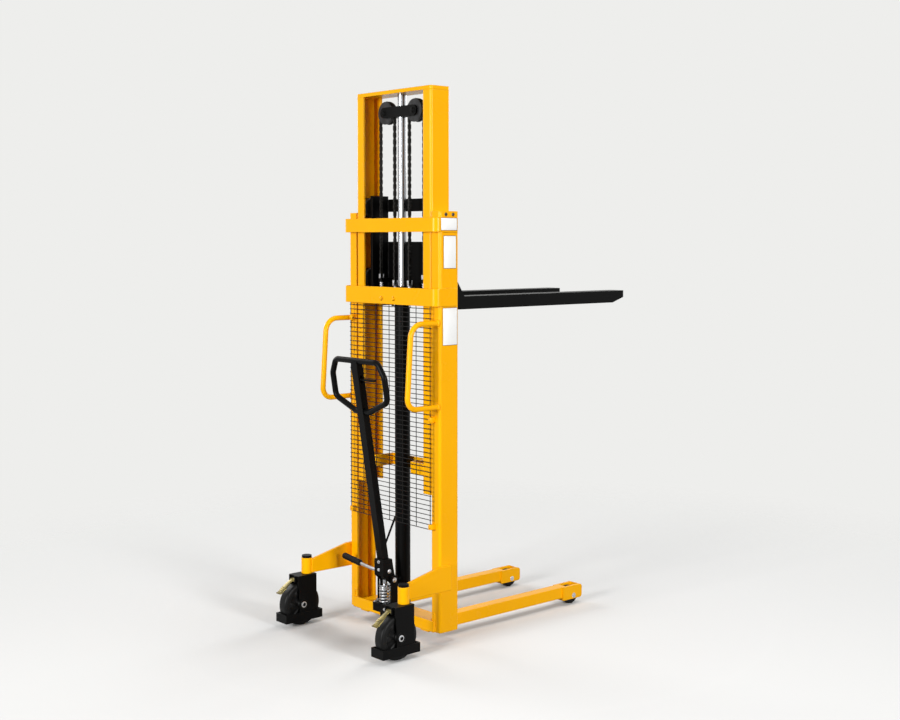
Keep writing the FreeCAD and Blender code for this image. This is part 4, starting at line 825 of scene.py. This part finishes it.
pipeEnd = (pipeLow[0] + fittings["pipe"], pipeLow[1] + fittings["pipe"], pipeLow[2])
nut = [(fittings["unionNut"], 0.0), (fittings["unionNut"], fittings["unionTall"] - fittings["unionEdge"]),
       (fittings["collar"], fittings["unionTall"])]
leftward = [(reach, -along) for reach, along in nut[::-1]]
makePiece("pipeUnions", [surface(lathed(leftward, unionSpot, "x", 6)), surface(lathed(nut, pipeEnd, "z", 6))],
          "zinc", "frame")

# Pump: cover bolts, a valve plug, a drain screw and the heads of the tiller's pin
pump = {"boltSide": 38.0, "boltRear": 9.0, "bolt": 4.6, "boltTall": 4.5, "plug": 9.0, "plugTall": 8.0,
        "plugUp": 45.5, "plugFront": 32.0, "drainSide": 30.0, "pinHead": 7.0, "pinTall": 3.5}
pumpLow, pumpHigh = span("pump_body")
pumpTop = pipeLow[2]
plugHeight = pumpLow[2] + pump["plugUp"]
shapes = []
for way in (-1, 1):
    shapes += hexHead((way * pump["boltSide"], pumpLow[1] + pump["boltRear"], pumpTop), "z", pump["bolt"],
                      pump["boltTall"])
shapes += hexHead((pumpHigh[0], pumpLow[1] + pump["plugFront"], plugHeight), "x", pump["plug"],
                  pump["plugTall"])
shapes += hexHead((pump["drainSide"], pumpLow[1], plugHeight), "y", pump["bolt"], pump["boltTall"], back=True)
pinLow, pinHigh = span("pivot_pin")
pinMiddle = (pinLow + pinHigh) / 2
shapes += hexHead((pinHigh[0], pinMiddle[1], pinMiddle[2]), "x", pump["pinHead"], pump["pinTall"])
shapes += hexHead((pinLow[0], pinMiddle[1], pinMiddle[2]), "x", pump["pinHead"], pump["pinTall"], back=True)
makePiece("pumpBolts", shapes, "zinc", "frame")

# Tiller: clamp bolts through the rocker and in its back, and a ribbed rubber grip on the pedal
clampBolt = {"back": 18.0, "up": 34.0, "radius": 6.0, "tall": 5.0, "rearUp": (40.0, 70.0), "rear": 4.8}
rockerLow, rockerHigh = span("tiller_rocker")
clampSpot = pinMiddle + (0, -clampBolt["back"], clampBolt["up"])
clampSide = np.array((rockerHigh[0], 0, 0))
shapes = hexHead(clampSpot + clampSide, "x", clampBolt["radius"], clampBolt["tall"])
shapes += hexHead(clampSpot - clampSide, "x", clampBolt["radius"], clampBolt["tall"], back=True)
for up in clampBolt["rearUp"]:
    shapes += hexHead((0.0, rockerLow[1], pinMiddle[2] + up), "y", clampBolt["rear"], clampBolt["tall"],
                      back=True)
makePiece("clampBolts", shapes, "zinc", "tiller")
grip = {"radius": 12.0, "groove": 1.1, "ribs": 13, "long": 108.0, "over": 3.0, "rise": 19.0, "reach": 173.5,
        "rows": 150, "sides": 26, "end": 5.0, "steep": 1.6, "endShare": 0.12}
low, high = span("pedal_grip")
outward = np.array((-grip["reach"], 0.0, grip["rise"])) / np.hypot(grip["reach"], grip["rise"])
gripEnd = np.array((low[0] + outward[2] * grip["radius"], (low[1] + high[1]) / 2,
                    high[2] + outward[0] * grip["radius"]))
share = np.linspace(0, 1, grip["rows"])
along = -grip["long"] + share * (grip["long"] + grip["over"])
ridge = np.clip(grip["steep"] * np.cos(2 * pi * grip["ribs"] * share), -1, 1)
toEnd = np.minimum(along + grip["long"], grip["over"] - along)
taper = np.sqrt(np.clip(1 - (1 - np.clip(toEnd / grip["end"], 0, 1)) ** 2, grip["endShare"], 1))
thick = taper * (grip["radius"] - grip["groove"] / 2 + grip["groove"] / 2 * ridge)
gripPath = gripEnd + along[:, None] * outward
ribbed = surface(carried(gripPath, circle(grip["sides"])[None] * thick[:, None, None], (0, 0, 1)))
makePiece("pedalGrip", [ribbed], "grip_rubber", "tiller", ["pedal_grip"])

# Crosshead: nuts on the sheaves' pins
headNut = {"radius": 9.0, "tall": 6.0}
headLow, headHigh = span("sheave_crosshead")
shapes = []
for way in (-1, 1):
    shapes += hexHead((way * sheaveSide, headLow[1], sheaveHeight), "y", headNut["radius"], headNut["tall"],
                      back=True)
    shapes += hexHead((way * sheaveSide, headHigh[1], sheaveHeight), "y", headNut["radius"], headNut["tall"])
makePiece("sheaveNuts", shapes, "black_paint", "ram")

# Blank plates on the right upright and on the end of the upper strap
plates = {"thick": 0.6, "edge": 0.25, "rim": 1.6, "rimThick": 0.35,
          "lowPlate": {"depths": (16.0, 83.0), "heights": (1095.0, 1229.0), "on": "outer_mast_right"},
          "highPlate": {"depths": (20.0, 78.0), "heights": (1374.0, 1490.0), "on": "outer_mast_right"},
          "strapPlate": {"depths": (2.0, 77.0), "heights": (1511.5, 1554.5), "on": "upper_crossbar"}}
shapes = []
rims = []
margin = np.array((0.0, plates["rim"], plates["rim"]))
for name in ("lowPlate", "highPlate", "strapPlate"):
    plate = plates[name]
    face = span(plate["on"])[1, 0]
    low = np.array((face, plate["depths"][0], plate["heights"][0]))
    high = np.array((face + plates["thick"], plate["depths"][1], plate["heights"][1]))
    shapes.append(block(low, high, plates["edge"]))
    rims.append(block(low - margin, high + margin - (plates["rimThick"], 0, 0), plates["edge"] / 2))
makePiece("blankPlates", shapes, "label", "frame")
makePiece("plateRims", rims, "black_wire", "frame")
print("pump, tiller, crosshead and plates done")

# Floor: a pale disc that fades into the backdrop, and throws back less light than it shows
studio = {"backdrop": linear(238, 238, 236), "floorTone": linear(228, 228, 227),
          "bounce": linear(112, 112, 111), "radius": 9.0, "fadeFrom": 1.2, "fadeTo": 3.0, "sides": 96,
          "skyLight": 0.12}
rim = np.pad(circle(studio["sides"], studio["radius"]), ((0, 0), (0, 1)))
disc = bpy.data.meshes.new("floor")
disc.from_pydata(rim.tolist(), [], [list(range(studio["sides"]))])
floor = bpy.data.objects.new("floor", disc)
bpy.context.scene.collection.objects.link(floor)
ground = Finish("paleFloor")
apart = ground.add("ShaderNodeVectorMath", {"operation": "LENGTH"}, {0: ground.place}, out="Value")
fade = ((apart - studio["fadeFrom"]) / (studio["fadeTo"] - studio["fadeFrom"])).held()
tone = ground.mix(ground.seen(), studio["bounce"], studio["floorTone"])
matt = ground.add("ShaderNodeBsdfDiffuse", {}, {"Color": tone})
clear = ground.add("ShaderNodeBsdfTransparent")
shown = ground.add("ShaderNodeMixShader", {}, {0: fade, 1: matt, 2: clear})
ground.add("ShaderNodeOutputMaterial", {}, {"Surface": shown})
floor.data.materials.append(ground.material)

# World: even light, and the plain backdrop for what the camera and the metal see
world = bpy.data.worlds.new("studio")
bpy.context.scene.world = world
air = Finish("studio", world)
even = air.add("ShaderNodeBackground", {}, {"Color": (1.0, 1.0, 1.0, 1.0), "Strength": studio["skyLight"]})
plain = air.add("ShaderNodeBackground", {}, {"Color": studio["backdrop"]})
both = air.add("ShaderNodeMixShader", {}, {0: air.seen(), 1: even, 2: plain})
air.add("ShaderNodeOutputWorld", {}, {"Surface": both})

# Lamps: square panels, each aimed at a point on the object's middle line
lamps = {
    "keyPanel": {"at": (6.5, -0.3, 2.1), "aim": (0, 0, 0.9), "wide": 1.4, "watts": 320},
    "fillPanel": {"at": (0.6, -6.3, 2.1), "aim": (0, 0, 0.9), "wide": 2.0, "watts": 365},
    "topPanel": {"at": (0.5, 1.0, 6.0), "aim": (0, 0, 0.8), "wide": 3.0, "watts": 120},
    "backPanel": {"at": (-1.5, 6.5, 3.5), "aim": (0, 0, 1.0), "wide": 3.0, "watts": 180},
    "leftPanel": {"at": (-6.0, -0.5, 3.0), "aim": (0, 0, 1.0), "wide": 2.4, "watts": 140},
}
for name, lamp in lamps.items():
    panel = bpy.data.lights.new(name, "AREA")
    panel.size = lamp["wide"]
    panel.energy = lamp["watts"]
    stand = bpy.data.objects.new(name, panel)
    stand.location = lamp["at"]
    aim = Vector(lamp["aim"]) - Vector(lamp["at"])
    stand.rotation_euler = aim.to_track_quat("-Z", "Y").to_euler()
    bpy.context.scene.collection.objects.link(stand)

# Camera at the photograph's angle
lensSetup = {"spot": (3.9239, -3.5412, 1.4776), "yaw": 48.582, "pitch": 3.041,
             "lens": 53.826, "rise": -0.0545, "sensor": 36.0, "farthest": 60.0}
lens = bpy.data.cameras.new("camera")
lens.lens = lensSetup["lens"]
lens.sensor_width = lensSetup["sensor"]
lens.shift_y = lensSetup["rise"]
lens.clip_end = lensSetup["farthest"]
camera = bpy.data.objects.new("camera", lens)
camera.location = lensSetup["spot"]
camera.rotation_euler = (radians(90 - lensSetup["pitch"]), 0.0, radians(lensSetup["yaw"]))
bpy.context.scene.collection.objects.link(camera)
bpy.context.scene.camera = camera
bpy.context.scene.view_settings.view_transform = "Standard"
print("studio set")
